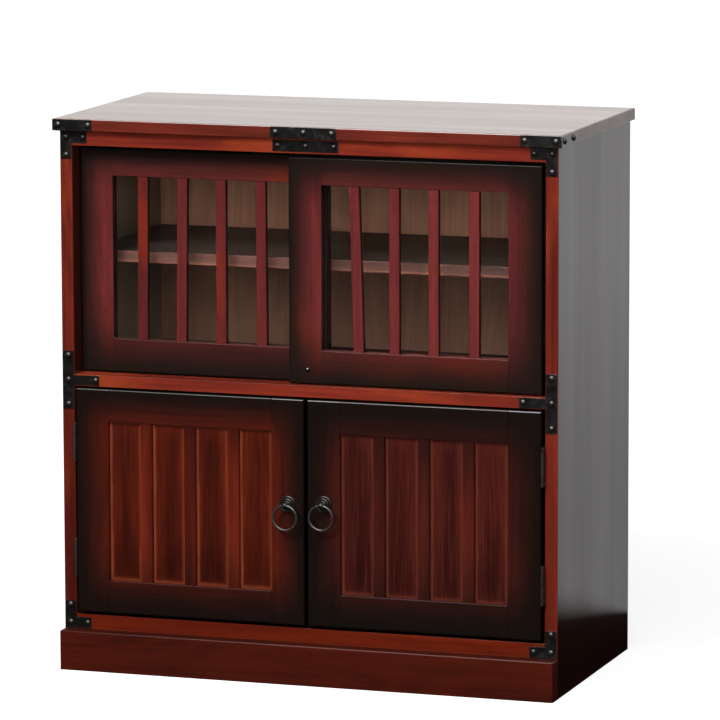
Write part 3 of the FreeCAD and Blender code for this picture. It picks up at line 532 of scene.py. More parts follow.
def worn_panel(low, high, mullion, count, edge_tone, centre, lines):
    """Tint for a door panel: thin bright stain along each field's edges, darker in the middle."""
    pitch = (high.x - low.x + mullion) / count
    field = pitch - mullion

    def tint(tree, stain, axes):
        across = tree.math("MODULO", tree.minus(axes[0], low.x), pitch)
        distances = {"left": across, "right": tree.minus(field, across),
                     "foot": tree.minus(axes[2], low.z), "head": tree.minus(high.z, axes[2])}
        ragged = tree.wander(tree.drawn("Z", FIELD_PATTERN), FIELD_WANDER)
        middle, glow = 1.0, 0.0
        for edge, (width, strength) in FIELD_WEAR.items():
            near = tree.math("ADD", distances[edge], ragged)
            bright = tree.minus(1.0, tree.fade(near, 0.0, width))
            glow = tree.math("MAXIMUM", glow, tree.times(bright, strength))
            middle = tree.times(middle, tree.fade(near, 0.0, MIDDLE_REACH))
        stain = tree.mix(tree.times(middle, MIDDLE_SHARE), stain, centre, "MULTIPLY")
        line = tree.fade(tree.drawn("Z", LINE_PATTERN), *LINE_RANGE)
        stain = tree.mix(tree.times(line, lines), stain, edge_tone)
        return tree.mix(tree.times(glow, FIELD_WEAR_SHARE), stain, edge_tone)

    return tint


STRIP_PATTERN = Pattern(5, 30, detail=2)
STRIP_RANGE = (0.25, 0.6)


def glowing_strips(strips, shares, glint):
    """Tint that lays orange on upright strips, on each by its own share."""

    def tint(tree, stain, axes):
        patch = tree.fade(tree.drawn("Z", STRIP_PATTERN), *STRIP_RANGE)
        for (low, high), share in zip(strips, shares):
            on = tree.math("COMPARE", axes[0], (low.x + high.x) / 2, high.x - low.x)
            stain = tree.mix(tree.times(on, patch, share), stain, glint)
        return stain

    return tint


# Depths under a board's front between which its own stain ends, between which another takes over far
# in, and between which the sides of a stile or slat turn black.
FRONT_EDGE = (0.0006, 0.0016)
FAR_IN = (0.02, 0.1)
ROUNDED_EDGE = (0.0003, 0.0012)


def depths(face, reach):
    """Where a stain starts to change and where it has changed, under a board's face."""
    return face + reach[0], face + reach[1]


def front_only(front, near, far=None):
    """Tint that leaves a board's own stain on its front edge and lays another behind it, or two in turn."""

    def tint(tree, stain, axes):
        inner = near if far is None else tree.mix(tree.fade(axes[1], *depths(front, FAR_IN)), near, far)
        return tree.mix(tree.fade(axes[1], *depths(front, FRONT_EDGE)), stain, inner)

    return tint


def dark_sides(front, back, black):
    """Tint that blackens a board's faces between its front and its back."""

    def tint(tree, stain, axes):
        inwards = tree.fade(axes[1], *depths(front, ROUNDED_EDGE))
        onwards = tree.fade(axes[1], *(back - edge for edge in ROUNDED_EDGE))
        # Partly stain, partly painted shade.
        return tree.mix(tree.times(inwards, onwards), stain, black)

    return tint


def facing_front(node, inner):
    """Tint that lays another one on a thin panel's front face only."""
    front, back = (corner.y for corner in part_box(node))

    def tint(tree, stain, axes):
        return tree.mix(tree.math("LESS_THAN", axes[1], (front + back) / 2), stain, inner(tree, stain, axes))

    return tint


# A side panel's outer and inner colours, the outer face and the lip painted shade: under its faces,
# behind its lip, and in its streaks.
OUTER_SKIN = (0.002, 0.001)
INNER_SKIN = (0.001, 0.0004)
LIP_DEPTH = (0.026, 0.036)
SIDE_PATTERN = Pattern(2, 34, detail=4)
SIDE_RANGE = (0.15, 0.85)


def side_faces(stains, low, high):
    """Tint for a side panel: dark streaks on its outer face, grey brown on the inner one behind the doors."""
    inner_x, outer_x = sorted((abs(low.x), abs(high.x)))

    def tint(tree, stain, axes):
        out = tree.math("ABSOLUTE", axes[0])
        streak = tree.drawn("Z", SIDE_PATTERN)
        # Painted shade: the outer face is much darker than the front edge, with dark streaks.
        dark = tree.mix(tree.fade(streak, *SIDE_RANGE), stains.side_dark, stains.side_light)
        behind = tree.fade(axes[1], *depths(low.y, FRONT_EDGE))
        outside = tree.times(behind, tree.fade(out, *(outer_x - skin for skin in OUTER_SKIN)))
        stain = tree.mix(outside, stain, dark)
        plain = tree.mix(streak, stains.inner_dark, stains.inner_light)
        # Painted shade: a darker red lip just inside the front edge, then grey brown further in.
        deep = tree.fade(axes[1], *depths(low.y, LIP_DEPTH))
        inside = tree.fade(out, *depths(inner_x, INNER_SKIN))
        return tree.mix(inside, stain, tree.mix(deep, stains.lip, plain))

    return tint


class Skin(NamedTuple):
    """How blackened iron or steel shines, with the depth of its unevenness."""

    roughness: float
    shine: float = 0.5
    relief: float = 0.00004
    metallic: float = 0.0


PLATE_SKIN = Skin(0.24, shine=0.9, relief=0.000004)
NAIL_SKIN = Skin(0.34, shine=0.28, relief=0.000008)
ROSETTE_SKIN = Skin(0.34, shine=0.2, relief=0.000002)
RING_SKIN = Skin(0.36, shine=0.32, relief=0.00001)
STEEL_SKIN = Skin(0.34, metallic=1.0)
PIN_SKIN = Skin(0.25)

# Marks to the metre and detail of each pattern that iron, plastic and glass have, and what it does there.
IRON_PATCH = {"scale": 120, "detail": 4}
IRON_GRIT = {"scale": 1400, "detail": 3}
RUBBED_RANGE = (0.52, 0.75)
RUBBED_SHARE = 0.5
GRIT_RANGE = (0.35, 0.8)
GRIT_HEIGHT = 0.35
IRON_SWING = 0.3
PLASTIC_GRAIN = {"scale": 2600, "detail": 2}
PLASTIC_CLOUD = {"scale": 60, "detail": 3}
PLASTIC_LIGHTER = 1.8
PLASTIC_SHARE = 0.3
PLASTIC_RELIEF = 0.00004
PLASTIC_ROUGHNESS = (0.42, 0.57)
DUST_FILM = {"scale": 18, "detail": 5}
DUST_RANGE = (0.45, 0.8)
DUST_SHARE = 0.2


def iron_finish(name, base, worn, skin):
    """Iron or steel with a fine uneven skin and rubbed spots."""
    material, tree = new_material(name)
    place = tree.place()
    patch = tree.noise(place, **IRON_PATCH)
    grit = tree.noise(place, **IRON_GRIT)
    shade = tree.mix(tree.times(tree.fade(patch, *RUBBED_RANGE), RUBBED_SHARE), base, worn)
    if skin.metallic:
        shade = tree.mix(tree.fade(grit, *GRIT_RANGE), shade, worn)
    height = tree.math("MULTIPLY_ADD", grit, GRIT_HEIGHT, patch)
    tree.surface(tree.principled(
        Base_Color=shade, Roughness=tree.wander(patch, IRON_SWING, skin.roughness), Metallic=skin.metallic,
        Specular_IOR_Level=skin.shine, Normal=tree.bump(height, skin.relief)))
    return material


def plastic_finish(name, brown):
    """Moulded plastic with a fine grained skin."""
    material, tree = new_material(name)
    place = tree.place()
    grain = tree.noise(place, **PLASTIC_GRAIN)
    cloud = tree.noise(place, **PLASTIC_CLOUD)
    lighter = tuple(channel * PLASTIC_LIGHTER for channel in brown)
    tree.surface(tree.principled(
        Base_Color=tree.mix(tree.times(cloud, PLASTIC_SHARE), brown, lighter),
        Roughness=tree.between(cloud, *PLASTIC_ROUGHNESS), Normal=tree.bump(grain, PLASTIC_RELIEF)))
    return material


def glass_finish(name, settings):
    """Clear pane with a faint film of dust, which lets the lamps through."""
    material, tree = new_material(name)
    film = tree.fade(tree.noise(tree.place(), **DUST_FILM), *DUST_RANGE)
    tint = tree.mix(tree.times(film, DUST_SHARE), settings.tint, settings.dust)
    pane = tree.principled(Base_Color=tint, Roughness=0.0, IOR=settings.ior, Transmission_Weight=1.0)
    through = tree.add("ShaderNodeBsdfTransparent", {"Color": tint}).outputs[0]
    shadow = tree.add("ShaderNodeLightPath").outputs["Is Shadow Ray"]
    tree.surface(tree.add("ShaderNodeMixShader", {0: shadow, 1: pane, 2: through}).outputs[0])
    return material


def paint(material, *names):
    """Give CAD nodes a finish."""
    for name in names:
        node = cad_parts[name]
        if not node.material_slots:
            node.data.materials.append(material)
        for slot in node.material_slots:
            slot.material = material


def stain_boards(name, shades, grain, gloss, tint=None, glint=None, nodes=()):
    """Stain the boards listed, or the one board that has the finish's own name."""
    paint(wood(name, *shades, grain, gloss, tint, glint), *(nodes or [name]))


def box_of(*names):
    """Lowest and highest corner of several CAD nodes together."""
    return limits_of([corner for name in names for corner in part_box(name)])


def limits_of(places):
    """Lowest and highest corner of the box round a list of places."""
    low = Vector(min(place[axis] for place in places) for axis in range(3))
    high = Vector(max(place[axis] for place in places) for axis in range(3))
    return low, high


def merged_copy(node):
    """A CAD node's mesh with its loose triangles joined."""
    mesh = bmesh.new()
    mesh.from_mesh(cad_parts[node].data)
    bmesh.ops.remove_doubles(mesh, verts=mesh.verts, dist=MERGE)
    return mesh


def solids_of(name):
    """Lowest and highest corner of each separate solid in a CAD node."""
    mesh = merged_copy(name)
    left = set(mesh.verts)
    found = []
    while left:
        waiting = [left.pop()]
        solid = list(waiting)
        while waiting:
            vertex = waiting.pop()
            near = {edge.other_vert(vertex) for edge in vertex.link_edges} & left
            left -= near
            waiting.extend(near)
            solid.extend(near)
        found.append(limits_of([vertex.co for vertex in solid]))
    mesh.free()
    return sorted(found, key=lambda box: tuple(round(value, PLACE_DIGITS) for value in box[0]))


def new_piece(name, mesh, body, material, replaced):
    """A finished mesh as a piece of the cupboard, in place of CAD nodes."""
    piece = bpy.data.objects.new(name, mesh)
    bpy.context.scene.collection.objects.link(piece)
    if material:
        mesh.materials.clear()
        mesh.materials.append(material)
    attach(piece, body)
    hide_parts(*replaced)
    return piece


# Faces that meet under the first angle are made one, and edges over the second one are softened.
FLAT = math.radians(1)
SHARP = math.radians(50)
BEVEL_STEPS = 2
BEVEL_PROFILE = 0.6


def bevelled_copy(name, node, width, body, material):
    """A CAD node's own shape with softened edges."""
    mesh = merged_copy(node)
    bmesh.ops.dissolve_limit(mesh, angle_limit=FLAT, verts=mesh.verts, edges=mesh.edges)
    sharp = [edge for edge in mesh.edges if edge.is_manifold and edge.calc_face_angle() > SHARP]
    bmesh.ops.bevel(
        mesh, geom=sharp, offset=width, segments=BEVEL_STEPS, profile=BEVEL_PROFILE, affect="EDGES",
        clamp_overlap=True)
    bmesh.ops.triangulate(mesh, faces=mesh.faces)
    data = bpy.data.meshes.new(name)
    mesh.to_mesh(data)
    mesh.free()
    return new_piece(name, data, body, material, [node])


NUMBER, COUNT, FINISH = "NodeSocketFloat", "NodeSocketInt", "NodeSocketMaterial"
HAMMER_MARKS = {"Scale": 700, "Detail": 1}

# The length of a screw's slots, by its head's diameter, and the thinness of its tip, by its shank.
SLOT_REACH_SHARE = 0.62
SHANK_TIP_SHARE = 0.3


def geometry_tree(name, sockets):
    """A geometry tree with named inputs. Returns it, its builder and its input node."""
    group = bpy.data.node_groups.new(name, "GeometryNodeTree")
    group.is_modifier = True
    group.interface.new_socket("Geometry", in_out="INPUT", socket_type="NodeSocketGeometry")
    for label, kind in sockets.items():
        group.interface.new_socket(label, in_out="INPUT", socket_type=kind)
    group.interface.new_socket("Geometry", in_out="OUTPUT", socket_type="NodeSocketGeometry")
    tree = Tree(group)
    return group, tree, tree.add("NodeGroupInput").outputs


def finish_tree(tree, instances, given):
    """Make the instances real, roughen their skin inwards, and give them their finish."""
    real = tree.add("GeometryNodeRealizeInstances", {"Geometry": instances}).outputs[0]
    place = tree.add("GeometryNodeInputPosition").outputs[0]
    inputs = {"Vector": place, "W": given["Seed"], **HAMMER_MARKS}
    skin = tree.add("ShaderNodeTexNoise", inputs, noise_dimensions="4D").outputs[0]
    depth = tree.times(skin, given["Hammering"], -1)
    normal = tree.add("GeometryNodeInputNormal").outputs[0]
    offset = tree.add("ShaderNodeVectorMath", {0: normal, "Scale": depth}, operation="SCALE").outputs[0]
    moved = tree.add("GeometryNodeSetPosition", {"Geometry": real, "Offset": offset}).outputs[0]
    smooth = tree.add("GeometryNodeSetShadeSmooth", {"Geometry": moved}).outputs[0]
    done = tree.add("GeometryNodeSetMaterial", {"Geometry": smooth, "Material": given["Finish"]}).outputs[0]
    tree.add("NodeGroupOutput", {"Geometry": done})


def on_points(tree, given, shape):
    """An instance of a shape on each point, with its own up along the point's outward direction."""
    outward = tree.add(
        "GeometryNodeInputNamedAttribute", {"Name": "outward"}, data_type="FLOAT_VECTOR").outputs[0]
    turn = tree.add("FunctionNodeAlignRotationToVector", {"Vector": outward}, axis="Z").outputs[0]
    inputs = {"Points": given["Geometry"], "Instance": shape, "Rotation": turn}
    return tree.add("GeometryNodeInstanceOnPoints", inputs).outputs[0]


def nail_tree():
    """Domed nail heads: balls squashed to their height, flat underneath."""
    group, tree, given = geometry_tree("domed_nails", {
        "Diameter": NUMBER, "Height": NUMBER, "Hammering": NUMBER, "Segments": COUNT, "Seed": COUNT,
        "Finish": FINISH})
    radius = tree.times(given["Diameter"], 0.5)
    inputs = {"Segments": given["Segments"], "Rings": given["Segments"], "Radius": radius}
    ball = tree.add("GeometryNodeMeshUVSphere", inputs).outputs[0]
    axes = tree.axes(tree.add("GeometryNodeInputPosition").outputs[0])
    squash = tree.math("DIVIDE", given["Height"], radius)
    rise = tree.times(tree.math("MAXIMUM", axes[2], 0), squash)
    place = tree.add("ShaderNodeCombineXYZ", {"X": axes[0], "Y": axes[1], "Z": rise}).outputs[0]
    dome = tree.add("GeometryNodeSetPosition", {"Geometry": ball, "Position": place}).outputs[0]
    finish_tree(tree, on_points(tree, given, dome), given)
    return group


def sunk_cone(tree, corners, top, bottom, depth, foot):
    """A round piece of a screw, with its foot at a depth under the screw's face."""
    inputs = {"Vertices": corners, "Radius Top": top, "Radius Bottom": bottom, "Depth": depth}
    cone = tree.add("GeometryNodeMeshCone", inputs).outputs[0]
    down = tree.add("ShaderNodeCombineXYZ", {"Z": tree.times(foot, -1)}).outputs[0]
    return tree.add("GeometryNodeTransform", {"Geometry": cone, "Translation": down}).outputs[0]


def screw_tree():
    """Countersunk screws with crossed slots, each on its own point with its head outwards."""
    group, tree, given = geometry_tree("hinge_screws", {
        "Head Diameter": NUMBER, "Head Height": NUMBER, "Shank Diameter": NUMBER, "Length": NUMBER,
        "Slot Width": NUMBER, "Slot Depth": NUMBER, "Hammering": NUMBER, "Head Corners": COUNT,
        "Shank Corners": COUNT, "Seed": COUNT, "Finish": FINISH})
    head_radius = tree.times(given["Head Diameter"], 0.5)
    shank_radius = tree.times(given["Shank Diameter"], 0.5)
    head = sunk_cone(
        tree, given["Head Corners"], head_radius, shank_radius, given["Head Height"], given["Head Height"])
    cut = tree.add("GeometryNodeMeshBoolean", {"Mesh 1": head}, operation="DIFFERENCE")
    reach = tree.times(given["Head Diameter"], SLOT_REACH_SHARE)
    # Half of each cutter stands above the screw's face.
    tall = tree.times(given["Slot Depth"], 2)
    for along, across in (("X", "Y"), ("Y", "X")):
        size = tree.add("ShaderNodeCombineXYZ", {along: reach, across: given["Slot Width"], "Z": tall})
        slot = tree.add("GeometryNodeMeshCube", {"Size": size.outputs[0]}).outputs[0]
        tree.feed(cut.inputs["Mesh 2"], slot)
    shank = sunk_cone(
        tree, given["Shank Corners"], shank_radius, tree.times(shank_radius, SHANK_TIP_SHARE),
        given["Length"], tree.math("ADD", given["Length"], given["Head Height"]))
    whole = tree.add("GeometryNodeJoinGeometry")
    tree.feed(whole.inputs[0], cut.outputs[0])
    tree.feed(whole.inputs[0], shank)
    finish_tree(tree, on_points(tree, given, whole.outputs[0]), given)
    return group


def ring_tree():
    """A ring of round wire on each point, about the point's outward direction."""
    group, tree, given = geometry_tree("pull_rings", {
        "Ring Radius": NUMBER, "Wire Radius": NUMBER, "Hammering": NUMBER, "Ring Corners": COUNT,
        "Wire Corners": COUNT, "Seed": COUNT, "Finish": FINISH})
    path, wire = (
        tree.add("GeometryNodeCurvePrimitiveCircle", {
            "Resolution": given[f"{part} Corners"], "Radius": given[f"{part} Radius"]}).outputs[0]
        for part in ("Ring", "Wire"))
    ring = tree.add("GeometryNodeCurveToMesh", {"Curve": path, "Profile Curve": wire})
    finish_tree(tree, on_points(tree, given, ring.outputs[0]), given)
    return group


def grown(name, group, points, values, body, replaced):
    """A geometry tree's result on a list of (place, outward) points, as a plain piece."""
    base = bpy.data.meshes.new(name + "_points")
    base.from_pydata([place for place, outward in points], [], [])
    outward = base.attributes.new("outward", "FLOAT_VECTOR", "POINT")
    outward.data.foreach_set("vector", [value for place, way in points for value in way])
    holder = bpy.data.objects.new(name + "_points", base)
    bpy.context.scene.collection.objects.link(holder)
    modifier = holder.modifiers.new(name, "NODES")
    modifier.node_group = group
    for item in group.interface.items_tree:
        if item.in_out == "INPUT" and item.name in values:
            modifier[item.identifier] = values[item.name]
    bpy.context.view_layer.update()
    evaluated = holder.evaluated_get(bpy.context.evaluated_depsgraph_get())
    mesh = bpy.data.meshes.new_from_object(evaluated)
    mesh.name = name
    holder.modifiers.clear()
    bpy.data.objects.remove(holder)
    if not mesh.polygons:
        raise RuntimeError(f"{name} came out empty")
    return new_piece(name, mesh, body, None, replaced)


def turned(profile, steps):
    """A closed mesh turned about Z from (radius, height) pairs that start and end on the axis."""
    mesh = bmesh.new()
    corners = [mesh.verts.new((radius, 0, height)) for radius, height in profile]
    edges = [mesh.edges.new(pair) for pair in zip(corners, corners[1:])]
    bmesh.ops.spin(mesh, geom=corners + edges, cent=(0, 0, 0), axis=(0, 0, 1), angle=math.tau, steps=steps)
    bmesh.ops.remove_doubles(mesh, verts=mesh.verts, dist=MERGE)
    bmesh.ops.recalc_face_normals(mesh, faces=mesh.faces)
    return mesh


def arc(centre, radius, span, steps):
    """(radius, height) pairs along an arc that spans from one angle to another, in degrees."""
    start, end = span
    turns = [math.radians(start + (end - start) * step / steps) for step in range(steps + 1)]
    return [(centre[0] + radius * math.cos(turn), centre[1] + radius * math.sin(turn)) for turn in turns]


DRILL_CORNERS = 40


def drilled(mesh, place, radius, length):
    """The mesh with a round hole along X."""
    cutter = bmesh.new()
    along = Matrix.Translation(place) @ Matrix.Rotation(math.pi / 2, 4, "Y")
    bmesh.ops.create_cone(
        cutter, cap_ends=True, segments=DRILL_CORNERS, radius1=radius, radius2=radius, depth=length,
        matrix=along)
    drill_mesh = bpy.data.meshes.new("drill")
    cutter.to_mesh(drill_mesh)
    cutter.free()
    drill = bpy.data.objects.new("drill", drill_mesh)
    blank = bpy.data.objects.new("blank", mesh)
    for item in (drill, blank):
        bpy.context.scene.collection.objects.link(item)
    hole = blank.modifiers.new("hole", "BOOLEAN")
    hole.operation = "DIFFERENCE"
    hole.object = drill
    bpy.context.view_layer.update()
    bored = bpy.data.meshes.new_from_object(blank.evaluated_get(bpy.context.evaluated_depsgraph_get()))
    for item in (drill, blank):
        bpy.data.objects.remove(item)
    return bored


# The world as gloss mirrors it: pale behind the cupboard, up to a height, and dim elsewhere.
BEHIND_RANGE = (-0.25, 0.15)
BELOW_RANGE = (0.9, 0.4)
MIRRORED_LEVELS = (0.08, 1.05)
WHITE = (1.0, 1.0, 1.0)
WARM_WHITE = (1.0, 0.985, 0.95)

# The floor: its two greys and their pattern, how it brightens outwards, and where the mirrored floor
# turns from dark to pale behind the cupboard, with a softer edge towards the sides.
FLOOR_GREYS = (0.42, 0.38)
FLOOR_PATTERN = {"scale": 3, "detail": 2}
FLOOR_PATTERN_SHARE = 0.1
FLOOR_REACH = (0.4, 1.6)
FLOOR_LEVELS = (0.84, 1.0)
DARK_FLOOR_END = 0.364
SOFT_EDGE_REACH = (0.335, 0.455)
SOFT_EDGE_WIDTHS = (0.012, 0.132)
MIRRORED_FLOOR_REACH = (1.0, 4.0)
MIRRORED_FLOOR_LEVELS = (0.52, 0.72)


def seen_directly(tree):
    """1 for rays that come straight from the camera or through glass."""
    path = tree.add("ShaderNodeLightPath").outputs
    return tree.math("MAXIMUM", path["Is Camera Ray"], path["Is Transmission Ray"])


class CUPBOARD_OT_stage(bpy.types.Operator):
    """Set up the camera, the lamps and the pale floor"""

    bl_idname = "cupboard.stage"
    bl_label = "Stage"

    def execute(self, context):
        stage = context.scene.cupboard.stage
        self.camera(context, stage)
        self.lamp(context, "key", stage).visible_glossy = False
        self.lamp(context, "fill", stage)
        self.lamp(context, "overhead", stage).visible_diffuse = False
        self.world(context, stage)
        self.floor(context, stage)
        context.scene.view_settings.view_transform = "Standard"
        return {"FINISHED"}

    def camera(self, context, stage):
        data = bpy.data.cameras.new("camera")
        data.lens = stage.lens
        data.sensor_fit = "HORIZONTAL"
        data.sensor_width = stage.sensor
        data.clip_end = stage.floor_size
        camera = bpy.data.objects.new("camera", data)
        context.scene.collection.objects.link(camera)
        turn = Matrix.Rotation(stage.camera_turn, 4, "Z")
        level = Matrix.Rotation(math.pi / 2 - stage.camera_dip, 4, "X")
        roll = Matrix.Rotation(stage.camera_roll, 4, "Z")
        camera.matrix_world = Matrix.Translation(stage.camera_place) @ turn @ level @ roll
        context.scene.camera = camera

    def lamp(self, context, name, stage):
        """A square lamp that looks at the middle of the cupboard."""
        data = bpy.data.lights.new(f"{name}_lamp", "AREA")
        data.shape = "SQUARE"
        data.size = getattr(stage, f"{name}_size")
        data.energy = getattr(stage, f"{name}_power")
        lamp = bpy.data.objects.new(f"{name}_lamp", data)
        context.scene.collection.objects.link(lamp)
        lamp.location = getattr(stage, f"{name}_place")
        low, high = cad_box
        lamp.rotation_euler = ((low + high) / 2 - lamp.location).to_track_quat("-Z", "Y").to_euler()
        return lamp

    def world(self, context, stage):
        """White to the camera and behind the cupboard in reflections, dim in front of it."""
        world = bpy.data.worlds.new("studio")
        world.use_nodes = True
        world.node_tree.nodes.clear()
        tree = Tree(world.node_tree)
        axes = tree.axes(tree.add("ShaderNodeTexCoord").outputs["Generated"])
        white = tree.times(tree.fade(axes[1], *BEHIND_RANGE), tree.fade(axes[2], *BELOW_RANGE))
        extra = tree.minus(tree.between(white, *MIRRORED_LEVELS), stage.ambient)
        mirrored = tree.add("ShaderNodeLightPath").outputs["Is Glossy Ray"]
        level = tree.math("MULTIPLY_ADD", mirrored, extra, stage.ambient)
        glow = tree.add("ShaderNodeBackground", {
            "Color": tree.mix(mirrored, WHITE, WARM_WHITE),
            "Strength": tree.math("MAXIMUM", level, seen_directly(tree))}).outputs[0]
        tree.add("ShaderNodeOutputWorld", {"Surface": glow})
        context.scene.world = world

    def floor(self, context, stage):
        """Pale floor that keeps a soft shadow, dim where the cupboard's foot is mirrored."""
        half = stage.floor_size / 2
        mesh = bpy.data.meshes.new("floor")
        corners = [(-half, -half, 0), (half, -half, 0), (half, half, 0), (-half, half, 0)]
        mesh.from_pydata(corners, [], [(0, 1, 2, 3)])
        floor = bpy.data.objects.new("floor", mesh)
        context.scene.collection.objects.link(floor)
        material, tree = new_material("pale_floor")
        axes = tree.axes(tree.place())
        away = tree.math("SQRT", tree.math("ADD", *(tree.math("POWER", axis, 2) for axis in axes[:2])))
        paper = tree.times(tree.noise(tree.place(), **FLOOR_PATTERN), FLOOR_PATTERN_SHARE)
        shade = tree.mix(paper, *(grey(level) for level in FLOOR_GREYS))
        matt = tree.add("ShaderNodeBsdfDiffuse", {"Color": shade}).outputs[0]
        level = tree.between(tree.fade(away, *FLOOR_REACH), *FLOOR_LEVELS)
        glow = tree.add("ShaderNodeEmission", {"Strength": tree.times(level, seen_directly(tree))}).outputs[0]
        lit = tree.add("ShaderNodeAddShader", {0: matt, 1: glow}).outputs[0]
        mirrored = tree.add("ShaderNodeEmission", {"Strength": self.mirrored(tree, axes, away)}).outputs[0]
        glossy = tree.add("ShaderNodeLightPath").outputs["Is Glossy Ray"]
        tree.surface(tree.add("ShaderNodeMixShader", {0: glossy, 1: lit, 2: mirrored}).outputs[0])
        mesh.materials.append(material)

    def mirrored(self, tree, axes, away):
        """The floor's strength in reflections: dark up to a line behind the cupboard, pale beyond it."""
        aside = tree.fade(tree.math("ABSOLUTE", axes[0]), *SOFT_EDGE_REACH)
        soft = tree.between(aside, *SOFT_EDGE_WIDTHS)
        starts = tree.minus(DARK_FLOOR_END, soft)
        ends = tree.math("ADD", DARK_FLOOR_END, soft)
        level = tree.between(tree.fade(away, *MIRRORED_FLOOR_REACH), *MIRRORED_FLOOR_LEVELS)
        return tree.times(tree.fade(axes[1], starts, ends), level)


# How much a side panel darkens towards its foot, a painted shade where less light falls, and what is
# left of a stain where it is darkest. Then how far up a lighter colour reaches from the lower edge of
# the bottom board, a painted highlight on its rounded edge, and from the lower edge of a shelf.
SIDE_FADE = {"left": 0.95, "right": 0.5}
FOOT_LEVEL = 0.3
BOARD_HIGHLIGHT_REACH = 0.0018
SHELF_EDGE_REACH = 0.0045

# What is left of the back panel's stain under the upper shelf, a painted shade from that shelf, and how
# far above and below that shelf the change reaches.
BACK_LEVEL = 0.42
ABOVE_SHELF, BELOW_SHELF = 0.02, 0.03


class CUPBOARD_OT_boards(bpy.types.Operator):
    """Stain the boards of the carcass, the plinth, the back and the shelves"""

    bl_idname = "cupboard.boards"
    bl_label = "Boards"

    def execute(self, context):
        stains = context.scene.cupboard.wood
        stain_boards("top_board", (stains.top_light, stains.top_dark), "X", POLISHED)
        self.frame_boards(stains, (stains.frame_light, stains.frame_dark))
        stain_boards("plinth_board", (stains.plinth_light, stains.plinth_dark), "X", FAINT)
        self.back(stains)
        self.shelves(stains)
        stain_boards("glue_blocks", (stains.raw_light, stains.raw_dark), "Z", MATT)
        return {"FINISHED"}

    def frame_boards(self, stains, red):
        """The boards whose front edges frame the doors."""
        # Painted shadow on the faces behind the front edges, inside the carcass.
        inside = front_only(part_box("left_side_panel")[0].y, stains.shadow)
        stain_boards("upper_board", red, "X", SATIN, inside, stains.frame_glint)
        # Painted shadow on the middle board behind the rear door's front.
        ledge = front_only(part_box("rear_bottom_rail")[0].y, stains.shadow)
        stain_boards("middle_board", red, "X", EASED, ledge, stains.frame_glint)
        # Painted highlight along the bottom board's rounded lower edge, in the left door's worn-edge colour.
        edge = both(lighter_below(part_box("bottom_board")[0].z, BOARD_HIGHLIGHT_REACH, stains.left_wear), inside)
        stain_boards("bottom_board", (stains.foot_light, stains.foot_dark), "X", SATIN, edge)
        floor, ceiling = (corner.z for corner in cad_box)
        for side in SIDES:
            # Painted shade: each side panel darkens towards its foot, where less light falls.
            down = faded_down(ceiling, floor, SIDE_FADE[side], FOOT_LEVEL)
            faces = side_faces(stains, *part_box(f"{side}_side_panel"))
            stain_boards(f"{side}_side_panel", red, "Z", POLISHED, both(down, faces), stains.frame_glint)

    def back(self, stains):
        """The back panel, with painted shade below the upper shelf on the face that shows through the glass.
        """
        low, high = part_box("upper_shelf")
        dim = faded_down(high.z + ABOVE_SHELF, low.z - BELOW_SHELF, 1.0, BACK_LEVEL)
        dim = facing_front("back_panel", dim)
        stain_boards("back_panel", (stains.back_light, stains.back_dark), "Z", MATT, dim)

    def shelves(self, stains):
        for shelf in ("upper_shelf", "lower_shelf"):
            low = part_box(shelf)[0]
            # Each shelf gets a lighter colour along its lower edge, and painted shade and light on its top.
            edge = both(lighter_below(low.z, SHELF_EDGE_REACH, stains.shelf_edge_tone),
                        front_only(low.y, stains.shelf_top, stains.shelf_deep))
            stain_boards(shelf, (stains.shelf_light, stains.shelf_dark), "X", DULL, edge)


# How much of their stain a sliding door's slats keep, and the tongue that the upper track hides.
SLAT_LEVELS = {"front": 1.0, "rear": 0.72}
TONGUE_HEIGHT = 0.011


class CUPBOARD_OT_sliding_doors(bpy.types.Operator):
    """Stain the two sliding doors, black towards their edges"""

    bl_idname = "cupboard.sliding_doors"
    bl_label = "Sliding doors"

    def execute(self, context):
        stains = context.scene.cupboard.wood
        for door in ("front", "rear"):
            self.door(stains, door, (stains.wine_light, stains.wine_dark))
        return {"FINISHED"}

    def door(self, stains, door, wine):
        """A door's stiles, rails and slats, with the sides of the upright pieces black."""
        stiles = [f"{door}_left_stile", f"{door}_right_stile"]
        left, right = (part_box(name) for name in stiles)
        face_low = Vector((left[0].x, 0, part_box(f"{door}_bottom_rail")[0].z))
        face_high = Vector((right[1].x, 0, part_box(f"{door}_top_rail")[1].z - TONGUE_HEIGHT))
        burn = blackened((face_low, face_high), getattr(stains, f"{door}_reach"), stains.slide_black)
        stile = both(burn, dark_sides(left[0].y, left[1].y, stains.slide_side))
        stain_boards(f"{door}_stiles", wine, "Z", SATIN, stile, stains.glint, stiles)
        stain_boards(f"{door}_top_rail", wine, "X", SATIN, burn, stains.glint)
        stain_boards(f"{door}_bottom_rail", wine, "X", EASED, burn, stains.glint)
        slat_low, slat_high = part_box(f"{door}_slats")
        slat = both(shaded(SLAT_LEVELS[door]), dark_sides(slat_low.y, slat_high.y, stains.slide_side))
        stain_boards(f"{door}_slats", wine, "Z", SATIN, slat, stains.glint)


DOOR_PARTS = ("hinge_stile", "meeting_stile", "top_rail", "bottom_rail", "mullions", "panel")

# Each hinged door's panel: how much it darkens towards its foot, a painted shade where less light falls,
# how clearly its rubbed lines show, and the darker stain of its fields' middle.
PANEL_FADE = {"left": 0.7, "right": 0.45}
PANEL_LINES = {"left": 0.08, "right": 0.22}
FIELD_CENTRES = {"left": (0.5, 0.46, 0.5), "right": (0.58, 0.54, 0.58)}

# The mullions are blackened further in than the boards round them, and less deeply.
MULLION_REACH_FACTOR = 1.5
MULLION_BURN_SHARE = 0.8


